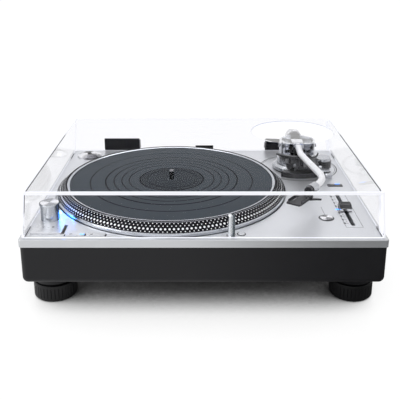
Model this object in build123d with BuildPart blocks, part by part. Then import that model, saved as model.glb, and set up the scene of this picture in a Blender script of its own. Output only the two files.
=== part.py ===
"""Direct-drive turntable with an S-shaped tonearm and a hinged dust cover.

Millimetres, +Z up, z = 0 at the feet, x = 0 at the deck's centre, front at -Y.
Each moving or separately made piece is exported as its own STEP file.
"""

from build123d import *
import math
import os

os.makedirs("parts", exist_ok=True)

# Clearances
RUN = 0.05
FREE = 0.3
GAP = 0.1

# Deck, cabinet and feet
DECK_W = 453.0
DECK_FRONT = -186.0
DECK_BACK = 167.0
DECK_Z = 105.0
PANEL_T = 10.0
PANEL_Z = DECK_Z - PANEL_T
SIDE = DECK_W / 2
STEP_IN = 0.5
CABINET_W = DECK_W - 2 * STEP_IN
CABINET_FRONT = DECK_FRONT + STEP_IN
CABINET_BACK = DECK_BACK - STEP_IN
CABINET_Z = 45.0
CABINET_WALL = 8.0
CABINET_FLOOR = CABINET_Z + 7.0
FOOT_R = 28.4
FOOT_X = SIDE - FOOT_R - GAP
FOOT_Y = (DECK_FRONT + 58.5, DECK_BACK - 59.0)
FOOT_TOP = 23.5
BOSS_Z = FOOT_TOP + 2.0
BOSS_LEAN = 4.0
STUD_R = 6.0
STUD_TOP = CABINET_Z + 3.0

# Platter and motor
CX = -45.8
CY = -13.5
PLATTER_R = 166.0
PLATTER_BOTTOM = DECK_Z - 1.7
WELL_R = PLATTER_R + 1.4
WELL_Z = DECK_Z - 4.0
MOTOR_HOLE_R = 66.0
MAT_R = PLATTER_R - 19.5
MAT_Z = DECK_Z + 11.2
MAT_T = 3.0
MAT_TOP = MAT_Z + MAT_T
RIM_TOP = MAT_Z + 4.1
HUB_Z = MAT_Z - 6.2
SPINDLE_R = 3.59
COLLAR_R = 4.3
SHAFT_R = 4.5
BEARING_R = 13.0
BEARING_Z = (CABINET_FLOOR + 8.0, PANEL_Z + 4.0)
SHAFT_Z = BEARING_Z[0] + 3.0
SPINDLE_TIP = MAT_TOP + 14.5

# Tonearm: the pivot stands 215 mm from the spindle
PX = CX + 195.8
PY = CY + 88.7
ARM_Z = DECK_Z + 38.5
TUBE_R = 4.8
TUBE_BORE = 3.9
BEND_R = 62.0
PILLAR_R = 20.0
COLUMN_R = 24.0
BASE_R = 26.0
RING_R = 38.0
RING_Z = (DECK_Z + 2.8, DECK_Z + 10.6)
COLUMN_TOP = DECK_Z + 13.0
PLATFORM_Z = (DECK_Z + 19.0, DECK_Z + 22.5)
YOKE_R = 28.0
YOKE_IN = 24.6
YOKE_Z = DECK_Z + 24.0
REST_Y = PY - 55.0
LIFT_R = 44.0

# Controls: centre x, centre y, width, depth
START_STOP = (30.9 - SIDE, DECK_FRONT + 30.5, 38.4, 27.4)
SPEED_33 = (67.5 - SIDE, DECK_FRONT + 16.0, 23.6, 9.2)
SPEED_45 = (92.9 - SIDE, DECK_FRONT + 16.0, 23.6, 9.2)
FADER_X = SIDE - 34.5
FADER_Y = DECK_FRONT + 94.0
FADER_SLOT = (5.0, 104.0)
RANGE = (FADER_X + 4.4, FADER_Y + 87.5, 22.0, 8.0)
RESET = (FADER_X - 30.3, FADER_Y - 28.5, 8.3)
LAMP_BUTTON = (CX + 92.8, DECK_FRONT + 17.1, 4.2)
KNOB = (26.5 - SIDE, DECK_FRONT + 63.5, 13.2)
TOWER_TOP = DECK_Z + 10.5
TOWER_STEM = 9.0
KNOB_TOP = DECK_Z + 23.2
LIGHT = (CX + 80.2, DECK_FRONT + 13.0, 4.5)
LIGHT_TOP = DECK_Z + 28.0
SLEEVE_R = 5.6
ADAPTER = (35.5 - SIDE, DECK_BACK - 34.0, 19.1)
RECESS = 4.0
DIAL = (PX + 37.0, PY - 27.7)
LOCK = (PX + 42.0, PY - 46.7)
LOCK_STEM = 3.0
LEVER_Y = PY - 44.2
LEVER_Z = DECK_Z + 15.5

# Dust cover and hinges
COVER_Z = DECK_Z + 1.5
COVER_TOP = DECK_Z + 59.6
COVER_WALL = 3.0
COVER_LOW = (SIDE - 4.0, DECK_FRONT + 2.5)
COVER_HIGH = (SIDE - 8.5, DECK_FRONT + 6.6)
COVER_BACK = DECK_BACK - 7.0
DOME = (PX - 8.5, PY + 1.3)
DOME_R = 63.0
DOME_RISE = 8.4
DOME_T = 1.9
HINGE_Y = DECK_BACK + 8.0
HINGE_Z = DECK_Z + 8.0
HINGE_X = (109.0, 169.0)
HINGE_BACK = HINGE_Y + 11.0
PIN_R = 2.5


def block(x0, x1, y0, y1, z0, z1, mode=Mode.ADD):
    """Adds a box given by its limits to the part being built."""
    with Locations(((x0 + x1) / 2, (y0 + y1) / 2, (z0 + z1) / 2)):
        Box(x1 - x0, y1 - y0, z1 - z0, mode=mode)


def rod(x, y, z0, z1, radius, mode=Mode.ADD):
    """Adds an upright cylinder between two heights."""
    with Locations((x, y, (z0 + z1) / 2)):
        Cylinder(radius, z1 - z0, mode=mode)


def rod_x(x0, x1, y, z, radius, mode=Mode.ADD):
    """Adds a cylinder lying along X."""
    with Locations(Location(((x0 + x1) / 2, y, z), (0, 90, 0))):
        Cylinder(radius, x1 - x0, mode=mode)


def rod_y(x, y0, y1, z, radius, mode=Mode.ADD):
    """Adds a cylinder lying along Y."""
    with Locations(Location((x, (y0 + y1) / 2, z), (90, 0, 0))):
        Cylinder(radius, y1 - y0, mode=mode)


def tube_wall(x, y, z0, z1, outer, inner, mode=Mode.ADD):
    """Adds an upright ring between two heights."""
    with BuildSketch(Plane.XY.offset(z0)) as ring:
        with Locations((x, y)):
            Circle(outer)
            Circle(inner, mode=Mode.SUBTRACT)
    extrude(ring.sketch, amount=z1 - z0, mode=mode)


def rounded(x, y, width, depth, radius, z0, z1, mode=Mode.ADD):
    """Extrudes a rounded rectangle between two heights."""
    with BuildSketch(Plane.XY.offset(z0)) as outline:
        with Locations((x, y)):
            RectangleRounded(width, depth, radius)
    extrude(outline.sketch, amount=z1 - z0, mode=mode)


def save(shape, name):
    """Labels a finished piece and writes its STEP file."""
    shape.label = name
    export_step(shape, f"parts/{name}.step")


# Top panel: a thick plate with the platter well and the holes for every control
DECK_Y = (DECK_FRONT + DECK_BACK) / 2
with BuildPart() as top_panel:
    rounded(0, DECK_Y, DECK_W, DECK_BACK - DECK_FRONT, 4.0, PANEL_Z, DECK_Z)
    chamfer(top_panel.edges().group_by(Axis.Z)[-1], 0.8)
    rod(CX, CY, WELL_Z, DECK_Z, WELL_R, mode=Mode.SUBTRACT)
    rod(CX, CY, PANEL_Z, WELL_Z, MOTOR_HOLE_R, mode=Mode.SUBTRACT)
    rod(PX, PY, PANEL_Z, DECK_Z, BASE_R + FREE, mode=Mode.SUBTRACT)
    for cx, cy, width, depth in (START_STOP, SPEED_33, SPEED_45, RANGE):
        rounded(cx, cy, width + 2 * FREE, depth + 2 * FREE, 1.5, PANEL_Z, DECK_Z, mode=Mode.SUBTRACT)
    for cx, cy, radius in (RESET, LAMP_BUTTON):
        rod(cx, cy, PANEL_Z, DECK_Z, radius + FREE, mode=Mode.SUBTRACT)
    rod(KNOB[0], KNOB[1], PANEL_Z, DECK_Z, TOWER_STEM + FREE, mode=Mode.SUBTRACT)
    rod(LIGHT[0], LIGHT[1], PANEL_Z, DECK_Z, SLEEVE_R + GAP, mode=Mode.SUBTRACT)
    rod(LOCK[0], LOCK[1], PANEL_Z, DECK_Z, LOCK_STEM + RUN, mode=Mode.SUBTRACT)
    rod(ADAPTER[0], ADAPTER[1], DECK_Z - RECESS, DECK_Z, ADAPTER[2] + 0.6, mode=Mode.SUBTRACT)
    rounded(FADER_X, FADER_Y, *FADER_SLOT, 2.0, PANEL_Z, DECK_Z, mode=Mode.SUBTRACT)
    with BuildSketch(Plane.XY.offset(DECK_Z)):
        with Locations((FADER_X + 0.5, FADER_Y - 1.5)):
            RectangleRounded(22.0, 113.0, 1.5)
            RectangleRounded(21.0, 112.0, 1.0, mode=Mode.SUBTRACT)
        with Locations((PX + 3.0, PY + 0.3)):
            Circle(60.9)
            Circle(60.1, mode=Mode.SUBTRACT)
    extrude(amount=-0.3, mode=Mode.SUBTRACT)
save(top_panel.part, "top_panel")

# Rear panel's opening and the sockets in it
REAR_Y = CABINET_BACK - 2.9
REAR_W = 70.0
REAR_Z = (CABINET_Z + 13.0, PANEL_Z - 5.0)
SOCKETS = (30.0, 50.0)
SOCKET_Z = CABINET_Z + 29.0
INLET_X = -40.0
GROUND_X = 8.0

# Cabinet: a tub with rounded lower edges and a boss over each foot
with BuildPart() as base_cabinet:
    middle = (CABINET_FRONT + CABINET_BACK) / 2
    rounded(0, middle, CABINET_W, CABINET_BACK - CABINET_FRONT, 8.0, CABINET_Z, PANEL_Z)
    fillet(base_cabinet.edges().group_by(Axis.Z)[0], 7.5)
    for fx in (-FOOT_X, FOOT_X):
        for fy in FOOT_Y:
            with BuildSketch(Plane.XY.offset(BOSS_Z)):
                with Locations((fx, fy)):
                    Circle(FOOT_R - 1.4)
            with BuildSketch(Plane.XY.offset(CABINET_Z)):
                with Locations((fx - math.copysign(BOSS_LEAN, fx), fy)):
                    Circle(FOOT_R + BOSS_LEAN - 4 * GAP)
            loft()
    rounded(0, middle, CABINET_W - 2 * CABINET_WALL, CABINET_BACK - CABINET_FRONT - 2 * CABINET_WALL, 4.0,
            CABINET_FLOOR, PANEL_Z, mode=Mode.SUBTRACT)
    for fx in (-FOOT_X, FOOT_X):
        for fy in FOOT_Y:
            rod(fx, fy, BOSS_Z - 1, STUD_TOP + 1.0, STUD_R + RUN, mode=Mode.SUBTRACT)
    block(-REAR_W, REAR_W, CABINET_BACK - CABINET_WALL - 1, CABINET_BACK + 1, *REAR_Z, mode=Mode.SUBTRACT)
save(base_cabinet.part, "base_cabinet")

# Feet: knurled shells with a levelling stud; each turns on its own thread
KNURLS = 36
for name, fx, fy in (("foot_front_left", -FOOT_X, FOOT_Y[0]), ("foot_front_right", FOOT_X, FOOT_Y[0]),
                     ("foot_rear_left", -FOOT_X, FOOT_Y[1]), ("foot_rear_right", FOOT_X, FOOT_Y[1])):
    with BuildPart() as foot:
        rod(0, 0, 0, 3.0, FOOT_R - 3.0)
        rod(0, 0, 3.0, FOOT_TOP, FOOT_R)
        fillet(foot.edges().group_by(Axis.Z)[-1], 1.2)
        with PolarLocations(FOOT_R + 0.3, KNURLS):
            with Locations(Location((0, 0, 12.5), (0, 0, 45))):
                Box(1.3, 1.3, 14.0, mode=Mode.SUBTRACT)
        rod(0, 0, FOOT_TOP, BOSS_Z - GAP, 20.0)
        rod(0, 0, FOOT_TOP, STUD_TOP, STUD_R)
    foot_placed = foot.part.moved(Location((fx, fy, 0)))
    save(foot_placed, name)

# Chassis frame: carries the motor under the panel and stands on the cabinet floor
PLATE_Z = PANEL_Z - 7.0
PLATE_GAP = 4.0
PLATE_X = CABINET_W / 2 - CABINET_WALL - PLATE_GAP
PLATE_FRONT = CABINET_FRONT + CABINET_WALL + PLATE_GAP
PLATE_BACK = CABINET_BACK - CABINET_WALL - PLATE_GAP
with BuildPart() as chassis_frame:
    block(-PLATE_X, PLATE_X, PLATE_FRONT, PLATE_BACK, PLATE_Z, PANEL_Z)
    rod(CX, CY, PLATE_Z, PANEL_Z, BEARING_R + FREE, mode=Mode.SUBTRACT)
    rod(PX, PY, PLATE_Z, PANEL_Z, 42.0, mode=Mode.SUBTRACT)
    block(-SIDE, START_STOP[0] + 83.6, CABINET_FRONT, START_STOP[1] + 47.5, PLATE_Z, PANEL_Z,
          mode=Mode.SUBTRACT)
    block(LIGHT[0] - 12.4, LIGHT[0] + 23.6, CABINET_FRONT, LIGHT[1] + 23, PLATE_Z, PANEL_Z,
          mode=Mode.SUBTRACT)
    block(RESET[0] - 14, RESET[0] + 14, RESET[1] - 14, RESET[1] + 14, PLATE_Z, PANEL_Z, mode=Mode.SUBTRACT)
    block(FADER_X - 12, FADER_X + 17, FADER_Y - 62, LEVER_Y + 21, PLATE_Z, PANEL_Z, mode=Mode.SUBTRACT)
    for px, py in ((-150.0, -60.0), (30.0, -120.0), (0.0, 110.0), (120.0, 125.0)):
        rod(px, py, CABINET_FLOOR, PLATE_Z, 8.0)
    for py in (-130.0, 55.0, 145.0):
        block(-110, 110, py - 2.5, py + 2.5, PLATE_Z - 4, PLATE_Z)
save(chassis_frame.part, "chassis_frame")

# Motor: bearing housing, stator board with its coils, then the spindle with its magnet
with BuildPart() as bearing_housing:
    rod(CX, CY, *BEARING_Z, BEARING_R)
    rod(CX, CY, PLATE_Z - 4, PLATE_Z, 24.0)
    rod(CX, CY, SHAFT_Z, BEARING_Z[1], SHAFT_R + RUN, mode=Mode.SUBTRACT)
save(bearing_housing.part, "bearing_housing")

BOARD_TOP = PANEL_Z + 1.6
COIL_H = 3.4
with BuildPart() as stator_board:
    tube_wall(CX, CY, PANEL_Z, BOARD_TOP, MOTOR_HOLE_R - 2, BEARING_R + 0.4)
save(stator_board.part, "stator_board")

with BuildPart() as stator_coils:
    with Locations((CX, CY)):
        with PolarLocations(43.0, 9):
            with Locations((0, 0, BOARD_TOP + COIL_H / 2)):
                Cylinder(12.5, COIL_H)
                Cylinder(5.0, COIL_H, mode=Mode.SUBTRACT)
save(stator_coils.part, "stator_coils")

# Spindle: shaft, hub disc, the collar through the mat and the pin for the record
ROTOR_Z = HUB_Z - 2.8
with BuildPart() as spindle:
    rod(CX, CY, SHAFT_Z, HUB_Z, SHAFT_R)
    rod(CX, CY, BEARING_Z[1] + 0.6, HUB_Z, 11.0)
    rod(CX, CY, ROTOR_Z, HUB_Z, 62.0)
    rod(CX, CY, HUB_Z, MAT_TOP, COLLAR_R)
    rod(CX, CY, MAT_TOP, SPINDLE_TIP, SPINDLE_R)
    fillet(spindle.edges().group_by(Axis.Z)[-1], 2.4)
save(spindle.part, "spindle")

with BuildPart() as rotor_magnet:
    tube_wall(CX, CY, BOARD_TOP + COIL_H + 1.2, ROTOR_Z, 58.0, 28.0)
save(rotor_magnet.part, "rotor_magnet")

# Platter: turned profile with a stepped rim, hollow and ribbed underneath
HUB_R = 70.0
SKIRT_R = PLATTER_R - 9.0
WEB_Z = MAT_Z - 5.0
FLANGE_TOP = DECK_Z + 3.6
RIB_Z = WEB_Z - 3.8
with BuildPart() as platter:
    with BuildSketch(Plane.XZ):
        with BuildLine():
            Polyline(
                (COLLAR_R + FREE, HUB_Z), (HUB_R, HUB_Z), (HUB_R + 2, WEB_Z), (SKIRT_R, WEB_Z),
                (SKIRT_R + 2.5, PLATTER_BOTTOM), (PLATTER_R, PLATTER_BOTTOM), (PLATTER_R, FLANGE_TOP),
                (PLATTER_R - 1.0, FLANGE_TOP + 1.0), (PLATTER_R - 13.1, RIM_TOP), (PLATTER_R - 17.8, RIM_TOP),
                (MAT_R + 0.6, RIM_TOP - 0.8), (MAT_R + 0.6, MAT_Z), (COLLAR_R + FREE, MAT_Z),
                close=True,
            )
        make_face()
    revolve(axis=Axis.Z)
    for radius in (95.0, 125.0):
        tube_wall(0, 0, RIB_Z, WEB_Z + 0.4, radius + 1.5, radius - 1.5)
    with PolarLocations((HUB_R + 1 + SKIRT_R) / 2, 12):
        with Locations((0, 0, (RIB_Z + WEB_Z + 0.6) / 2)):
            Box(SKIRT_R - HUB_R - 1, 2.4, WEB_Z + 0.6 - RIB_Z)
save(platter.part.moved(Location((CX, CY, 0))), "platter")

# Mat: each groove is given by its radius and width
MAT_GROOVES = ((118.0, 0.9), (96.0, 1.6), (84.0, 0.8), (72.7, 0.8), (62.0, 0.8),
               (46.4, 1.0), (40.7, 0.7), (36.8, 0.7), (34.0, 0.7))
with BuildPart() as rubber_mat:
    rod(0, 0, MAT_Z, MAT_TOP, MAT_R)
    chamfer(rubber_mat.edges().group_by(Axis.Z)[-1], 0.6)
    rod(0, 0, MAT_Z, MAT_TOP, COLLAR_R + FREE, mode=Mode.SUBTRACT)
    with BuildSketch(Plane.XY.offset(MAT_TOP)):
        for radius, width in MAT_GROOVES:
            Circle(radius + width / 2)
            Circle(radius - width / 2, mode=Mode.SUBTRACT)
    extrude(amount=-0.8, mode=Mode.SUBTRACT)
save(rubber_mat.part.moved(Location((CX, CY, 0))), "rubber_mat")

# Electronics inside the cabinet
BOARD_Z = CABINET_FLOOR + 8.0
CHIPS_Z = BOARD_Z + 1.6
CHIPS = ((85, -60, 16, 16, 2.2), (120, -60, 22, 12, 2.4), (85, -100, 10, 10, 2.0),
         (140, -120, 24, 8, 9.0), (110, -140, 30, 7, 9.0))
with BuildPart() as control_board:
    block(60, 168, -160, -20, BOARD_Z, CHIPS_Z)
    for cx, cy, width, depth, height in CHIPS:
        block(cx - width / 2, cx + width / 2, cy - depth / 2, cy + depth / 2, CHIPS_Z, CHIPS_Z + height)
    for cx, cy in ((70, -30), (160, -30), (70, -150), (160, -150)):
        rod(cx, cy, CABINET_FLOOR, BOARD_Z, 4.0)
save(control_board.part, "control_board")

TRAY_Z = CABINET_FLOOR + 2.0
with BuildPart() as power_supply:
    block(-170, -60, 60, 140, CABINET_FLOOR, TRAY_Z)
    block(-165, -120, 70, 130, TRAY_Z, TRAY_Z + 28)
    rod(-100, 120, TRAY_Z, TRAY_Z + 20, 8.0)
    rod(-80, 120, TRAY_Z, TRAY_Z + 20, 8.0)
    block(-108, -68, 66, 90, TRAY_Z, TRAY_Z + 16)
save(power_supply.part, "power_supply")

# Rear terminal panel with its sockets
INLET_W = 13.5
INLET_H = 9.5
with BuildPart() as rear_panel:
    block(-REAR_W, REAR_W, REAR_Y - 2.5, REAR_Y, *REAR_Z)
    for sx in SOCKETS:
        rod_y(sx, REAR_Y - 3, REAR_Y + 1, SOCKET_Z, 4.2, mode=Mode.SUBTRACT)
    rod_y(GROUND_X, REAR_Y - 3, REAR_Y + 1, SOCKET_Z, 2.0, mode=Mode.SUBTRACT)
    block(INLET_X - INLET_W - GAP, INLET_X + INLET_W + GAP, REAR_Y - 3, REAR_Y + 1,
          SOCKET_Z - INLET_H - GAP, SOCKET_Z + INLET_H + GAP, mode=Mode.SUBTRACT)
save(rear_panel.part, "rear_panel")

with BuildPart() as phono_jacks:
    for sx in SOCKETS:
        rod_y(sx, REAR_Y - 12, REAR_Y + 11.4, SOCKET_Z, 4.15)
        rod_y(sx, REAR_Y, REAR_Y + 1.6, SOCKET_Z, 6.2)
        rod_y(sx, REAR_Y + 2.4, REAR_Y + 12.4, SOCKET_Z, 1.65, mode=Mode.SUBTRACT)
save(phono_jacks.part, "phono_jacks")

with BuildPart() as ground_post:
    rod_y(GROUND_X, REAR_Y - 8, REAR_Y + 9, SOCKET_Z, 1.95)
    rod_y(GROUND_X, REAR_Y, REAR_Y + 1.2, SOCKET_Z, 5.0)
    rod_y(GROUND_X, REAR_Y + 3.0, REAR_Y + 9.0, SOCKET_Z, 4.6)
save(ground_post.part, "ground_post")

with BuildPart() as power_inlet:
    block(INLET_X - INLET_W, INLET_X + INLET_W, REAR_Y - 18, REAR_Y, SOCKET_Z - INLET_H, SOCKET_Z + INLET_H)
    block(INLET_X - INLET_W - 2, INLET_X + INLET_W + 2, REAR_Y, REAR_Y + 1.6,
          SOCKET_Z - INLET_H - 2, SOCKET_Z + INLET_H + 2)
    block(INLET_X - INLET_W + 1.5, INLET_X + INLET_W - 1.5, REAR_Y - 15, REAR_Y + 2,
          SOCKET_Z - INLET_H + 1.5, SOCKET_Z + INLET_H - 1.5, mode=Mode.SUBTRACT)
    for dx, dz in ((-7.0, -1.0), (7.0, -1.0), (0.0, 3.5)):
        block(INLET_X + dx - 1.0, INLET_X + dx + 1.0, REAR_Y - 15.5, REAR_Y - 1,
              SOCKET_Z + dz - 2, SOCKET_Z + dz + 2)
save(power_inlet.part, "power_inlet")

# Push buttons: a cap that stands proud of the deck and a flange that keeps it under the panel
TAB = 0.9
FLANGE_Z = PANEL_Z - 2.1
STEM_Z = PANEL_Z - 6.0
CAPS = (("start_stop_button", START_STOP, 1.8), ("button_33", SPEED_33, 1.2), ("button_45", SPEED_45, 1.2),
        ("range_button", RANGE, 1.0))
for name, (cx, cy, width, depth), proud in CAPS:
    with BuildPart() as button:
        rounded(cx, cy, width, depth, 1.2, PANEL_Z - GAP, DECK_Z + proud)
        fillet(button.edges().group_by(Axis.Z)[-1], 0.5)
        block(cx - 4, cx + 4, cy - depth / 2 - TAB, cy + depth / 2 + TAB, FLANGE_Z, PANEL_Z - GAP)
        rod(cx, cy, STEM_Z, FLANGE_Z, 2.0)
    save(button.part, name)

for name, (cx, cy, radius), proud in (("reset_button", RESET, 1.4), ("lamp_button", LAMP_BUTTON, 1.0)):
    with BuildPart() as button:
        rod(cx, cy, PANEL_Z - GAP, DECK_Z + proud, radius)
        fillet(button.edges().group_by(Axis.Z)[-1], 0.5)
        rod(cx, cy, FLANGE_Z, PANEL_Z - GAP, radius + 1.2)
        rod(cx, cy, STEM_Z, FLANGE_Z, 2.0)
    save(button.part, name)

# Strobe tower and the power knob that turns on top of it
PLATTER_ANGLE = math.degrees(math.atan2(CY - KNOB[1], CX - KNOB[0]))
KNOB_STEM = 4.0
TOWER_R = KNOB[2] - 1.2
WINDOW_X = 8.6
WINDOW_HALF = 4.5
WINDOW_Z = (DECK_Z + 2.0, DECK_Z + 8.5)
with BuildPart() as strobe_tower:
    rod(0, 0, DECK_Z, TOWER_TOP, TOWER_R)
    rod(0, 0, PANEL_Z - 9, DECK_Z, TOWER_STEM)
    rod(0, 0, PANEL_Z + 1, TOWER_TOP, KNOB_STEM + RUN, mode=Mode.SUBTRACT)
    block(WINDOW_X, KNOB[2], -WINDOW_HALF, WINDOW_HALF, *WINDOW_Z, mode=Mode.SUBTRACT)
save(strobe_tower.part.moved(Location((KNOB[0], KNOB[1], 0), (0, 0, PLATTER_ANGLE))), "strobe_tower")

with BuildPart() as strobe_lamp:
    block(WINDOW_X, TOWER_R - 1.4, GAP - WINDOW_HALF, WINDOW_HALF - GAP, WINDOW_Z[0] + GAP, WINDOW_Z[1] - GAP)
save(strobe_lamp.part.moved(Location((KNOB[0], KNOB[1], 0), (0, 0, PLATTER_ANGLE))), "strobe_lamp")

LIP_Z = KNOB_TOP - 2.4
with BuildPart() as power_knob:
    rod(KNOB[0], KNOB[1], TOWER_TOP + GAP, LIP_Z, TOWER_R)
    rod(KNOB[0], KNOB[1], LIP_Z, KNOB_TOP, KNOB[2])
    chamfer(power_knob.edges().group_by(Axis.Z)[-1], 0.6)
    with Locations((KNOB[0], KNOB[1], KNOB_TOP)):
        Cone(0.4, KNOB[2] - 2.2, 0.8, align=(Align.CENTER, Align.CENTER, Align.MAX), mode=Mode.SUBTRACT)
    rod(KNOB[0], KNOB[1], PANEL_Z + 2, TOWER_TOP + GAP, KNOB_STEM)
save(power_knob.part, "power_knob")

# Pitch fader: a slotted housing under the panel and the sliding knob
FADER_PIN = 1.5
SLOT_SIDE = 0.7
with BuildPart() as fader_housing:
    block(FADER_X - 7.5, FADER_X + 7.5, FADER_Y - 59, FADER_Y + 59, PANEL_Z - 16, PANEL_Z)
    block(FADER_X - FADER_PIN - SLOT_SIDE, FADER_X + FADER_PIN + SLOT_SIDE,
          FADER_Y - FADER_SLOT[1] / 2, FADER_Y + FADER_SLOT[1] / 2, PANEL_Z - 11, PANEL_Z, mode=Mode.SUBTRACT)
save(fader_housing.part, "fader_housing")

# Knob: a ribbed rear half, a pointer groove and a smooth lip that slopes down to the front
KNOB_W = 15.5
KNOB_LOW = DECK_Z + FREE
KNOB_TIP = KNOB_LOW + 8.4
with BuildPart() as fader_knob:
    with BuildSketch(Plane.YZ.offset(FADER_X - KNOB_W / 2)):
        with BuildLine():
            Polyline((FADER_Y - 9.0, KNOB_LOW), (FADER_Y + 7.0, KNOB_LOW), (FADER_Y + 6.2, KNOB_TIP),
                     (FADER_Y + 0.6, KNOB_TIP), (FADER_Y, KNOB_TIP - 1.0), (FADER_Y - 0.6, KNOB_TIP),
                     (FADER_Y - 3.4, KNOB_TIP - 0.4), (FADER_Y - 9.0, KNOB_LOW + 3.0), close=True)
        make_face()
    extrude(amount=KNOB_W)
    fillet(fader_knob.edges().filter_by(Axis.Z), 0.8)
    for dy in (2.0, 3.6, 5.2):
        block(FADER_X - KNOB_W, FADER_X + KNOB_W, FADER_Y + dy - 0.35, FADER_Y + dy + 0.35,
              KNOB_TIP - 0.8, KNOB_TIP + 2, mode=Mode.SUBTRACT)
    block(FADER_X - FADER_PIN, FADER_X + FADER_PIN, FADER_Y - 4, FADER_Y + 4, PANEL_Z - 9, KNOB_LOW)
save(fader_knob.part, "fader_knob")

# Target light: a sleeve in the panel and the pop-up lamp post
with BuildPart() as light_sleeve:
    rod(LIGHT[0], LIGHT[1], PANEL_Z, DECK_Z, SLEEVE_R)
    rod(LIGHT[0], LIGHT[1], DECK_Z, DECK_Z + 0.7, SLEEVE_R + 0.8)
    rod(LIGHT[0], LIGHT[1], PANEL_Z - 6, DECK_Z + 1, LIGHT[2] + RUN, mode=Mode.SUBTRACT)
save(light_sleeve.part, "light_sleeve")

LIGHT_ANGLE = math.degrees(math.atan2(CY - LIGHT[1], CX - LIGHT[0]))
with BuildPart() as target_light:
    rod(0, 0, PANEL_Z - 13, LIGHT_TOP, LIGHT[2])
    fillet(target_light.edges().group_by(Axis.Z)[-1], 1.4)
    with Locations(Location((LIGHT[2] + 0.1, 0, LIGHT_TOP - 5.5), (0, 35, 0))):
        Box(5.0, 5.0, 5.2, mode=Mode.SUBTRACT)
save(target_light.part.moved(Location((LIGHT[0], LIGHT[1], 0), (0, 0, LIGHT_ANGLE))), "target_light")

# Adapter for records with a large centre hole, parked in its recess
with BuildPart() as record_adapter:
    rod(ADAPTER[0], ADAPTER[1], DECK_Z - RECESS, DECK_Z + 2, ADAPTER[2])
    with Locations((ADAPTER[0], ADAPTER[1], DECK_Z + 3.5)):
        Cone(ADAPTER[2] - 1.0, 12.0, 3.0)
    rod(ADAPTER[0], ADAPTER[1], DECK_Z - RECESS, DECK_Z + 6, SPINDLE_R + RUN, mode=Mode.SUBTRACT)
save(record_adapter.part, "record_adapter")

# Tonearm centreline, seen from above: a short run, two opposed bends and the end that takes the headshell
ARM_PLANE = Plane.XY.offset(ARM_Z)
TUBE_START = (PX, PY - 14.3)
with BuildLine(ARM_PLANE) as arm_path:
    first = Line(TUBE_START, (PX - 1.3, PY - 42.7))
    bend_out = JernArc(start=first @ 1, tangent=first % 1, radius=BEND_R, arc_size=11.9)
    middle_run = Line(bend_out @ 1, (bend_out @ 1) + (bend_out % 1) * 76.0)
    bend_in = JernArc(start=middle_run @ 1, tangent=middle_run % 1, radius=BEND_R, arc_size=-44.7)
    last = Line(bend_in @ 1, (bend_in @ 1) + (bend_in % 1) * 20.0)
COLLAR = last @ 1
NOSE = last % 1
REST_X = (bend_out @ 1).X

# Tonearm base, fixed in the panel, with the bore that guides the pillar
SECTOR = (51.0, -125.0, 77.0)


def around_pivot(radius, degrees):
    """Gives the point at a radius and a direction from the arm's pivot, seen from above."""
    angle = math.radians(degrees)
    return (PX + radius * math.cos(angle), PY + radius * math.sin(angle))


with BuildPart() as arm_base:
    rod(PX, PY, PANEL_Z, DECK_Z, BASE_R)
    rod(PX, PY, DECK_Z, RING_Z[0] - FREE, RING_R - 1)
    rod(PX, PY, DECK_Z, COLUMN_TOP, COLUMN_R)
    with BuildSketch(Plane.XY.offset(DECK_Z)):
        with BuildLine():
            CenterArc((PX, PY), *SECTOR)
            CenterArc((PX, PY), RING_R + 2 * FREE, *SECTOR[1:])
            for degrees in (SECTOR[1], SECTOR[1] + SECTOR[2]):
                Line(around_pivot(SECTOR[0], degrees), around_pivot(RING_R + 2 * FREE, degrees))
        make_face()
    extrude(amount=8.0)
    with BuildSketch(Plane.XY.offset(DECK_Z)):
        with BuildLine():
            tie_arc = CenterArc((PX, PY), RING_R + 4, *SECTOR[1:])
            Polyline(tie_arc @ 0, (PX, PY), tie_arc @ 1)
        make_face()
    extrude(amount=RING_Z[0] - FREE - DECK_Z)
    rod(PX, PY, PANEL_Z + 2, COLUMN_TOP, PILLAR_R + RUN, mode=Mode.SUBTRACT)
save(arm_base.part, "arm_base")

with BuildPart() as height_ring:
    with BuildSketch(Plane.XZ):
        with BuildLine():
            Polyline((COLUMN_R + RUN, RING_Z[0]), (RING_R, RING_Z[0]), (RING_R, RING_Z[0] + 4.5),
                     (RING_R - 4, RING_Z[1]), (COLUMN_R + RUN, RING_Z[1]), close=True)
        make_face()
    revolve(axis=Axis.Z)
    with PolarLocations(RING_R + 0.2, 48):
        with Locations(Location((0, 0, RING_Z[0] + 2.2), (0, 0, 45))):
            Box(1.0, 1.0, 4.4, mode=Mode.SUBTRACT)
save(height_ring.part.moved(Location((PX, PY, 0))), "height_ring")

LOCK_BALL = 7.2
with BuildPart() as height_lock:
    with Locations((0, 0, DECK_Z + 5.2)):
        Sphere(LOCK_BALL)
    block(-LOCK_BALL, LOCK_BALL, -LOCK_BALL, LOCK_BALL, PANEL_Z, DECK_Z + FREE, mode=Mode.SUBTRACT)
    block(-LOCK_BALL, LOCK_BALL, -LOCK_BALL, LOCK_BALL, DECK_Z + 9.9, DECK_Z + 20, mode=Mode.SUBTRACT)
    rod(0, 0, DECK_Z + FREE, DECK_Z + 3.5, LOCK_BALL - 0.8)
    rod(0, 0, PANEL_Z - 2, DECK_Z + 2, LOCK_STEM)
save(height_lock.part.moved(Location((LOCK[0], LOCK[1], 0))), "height_lock")

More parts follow.
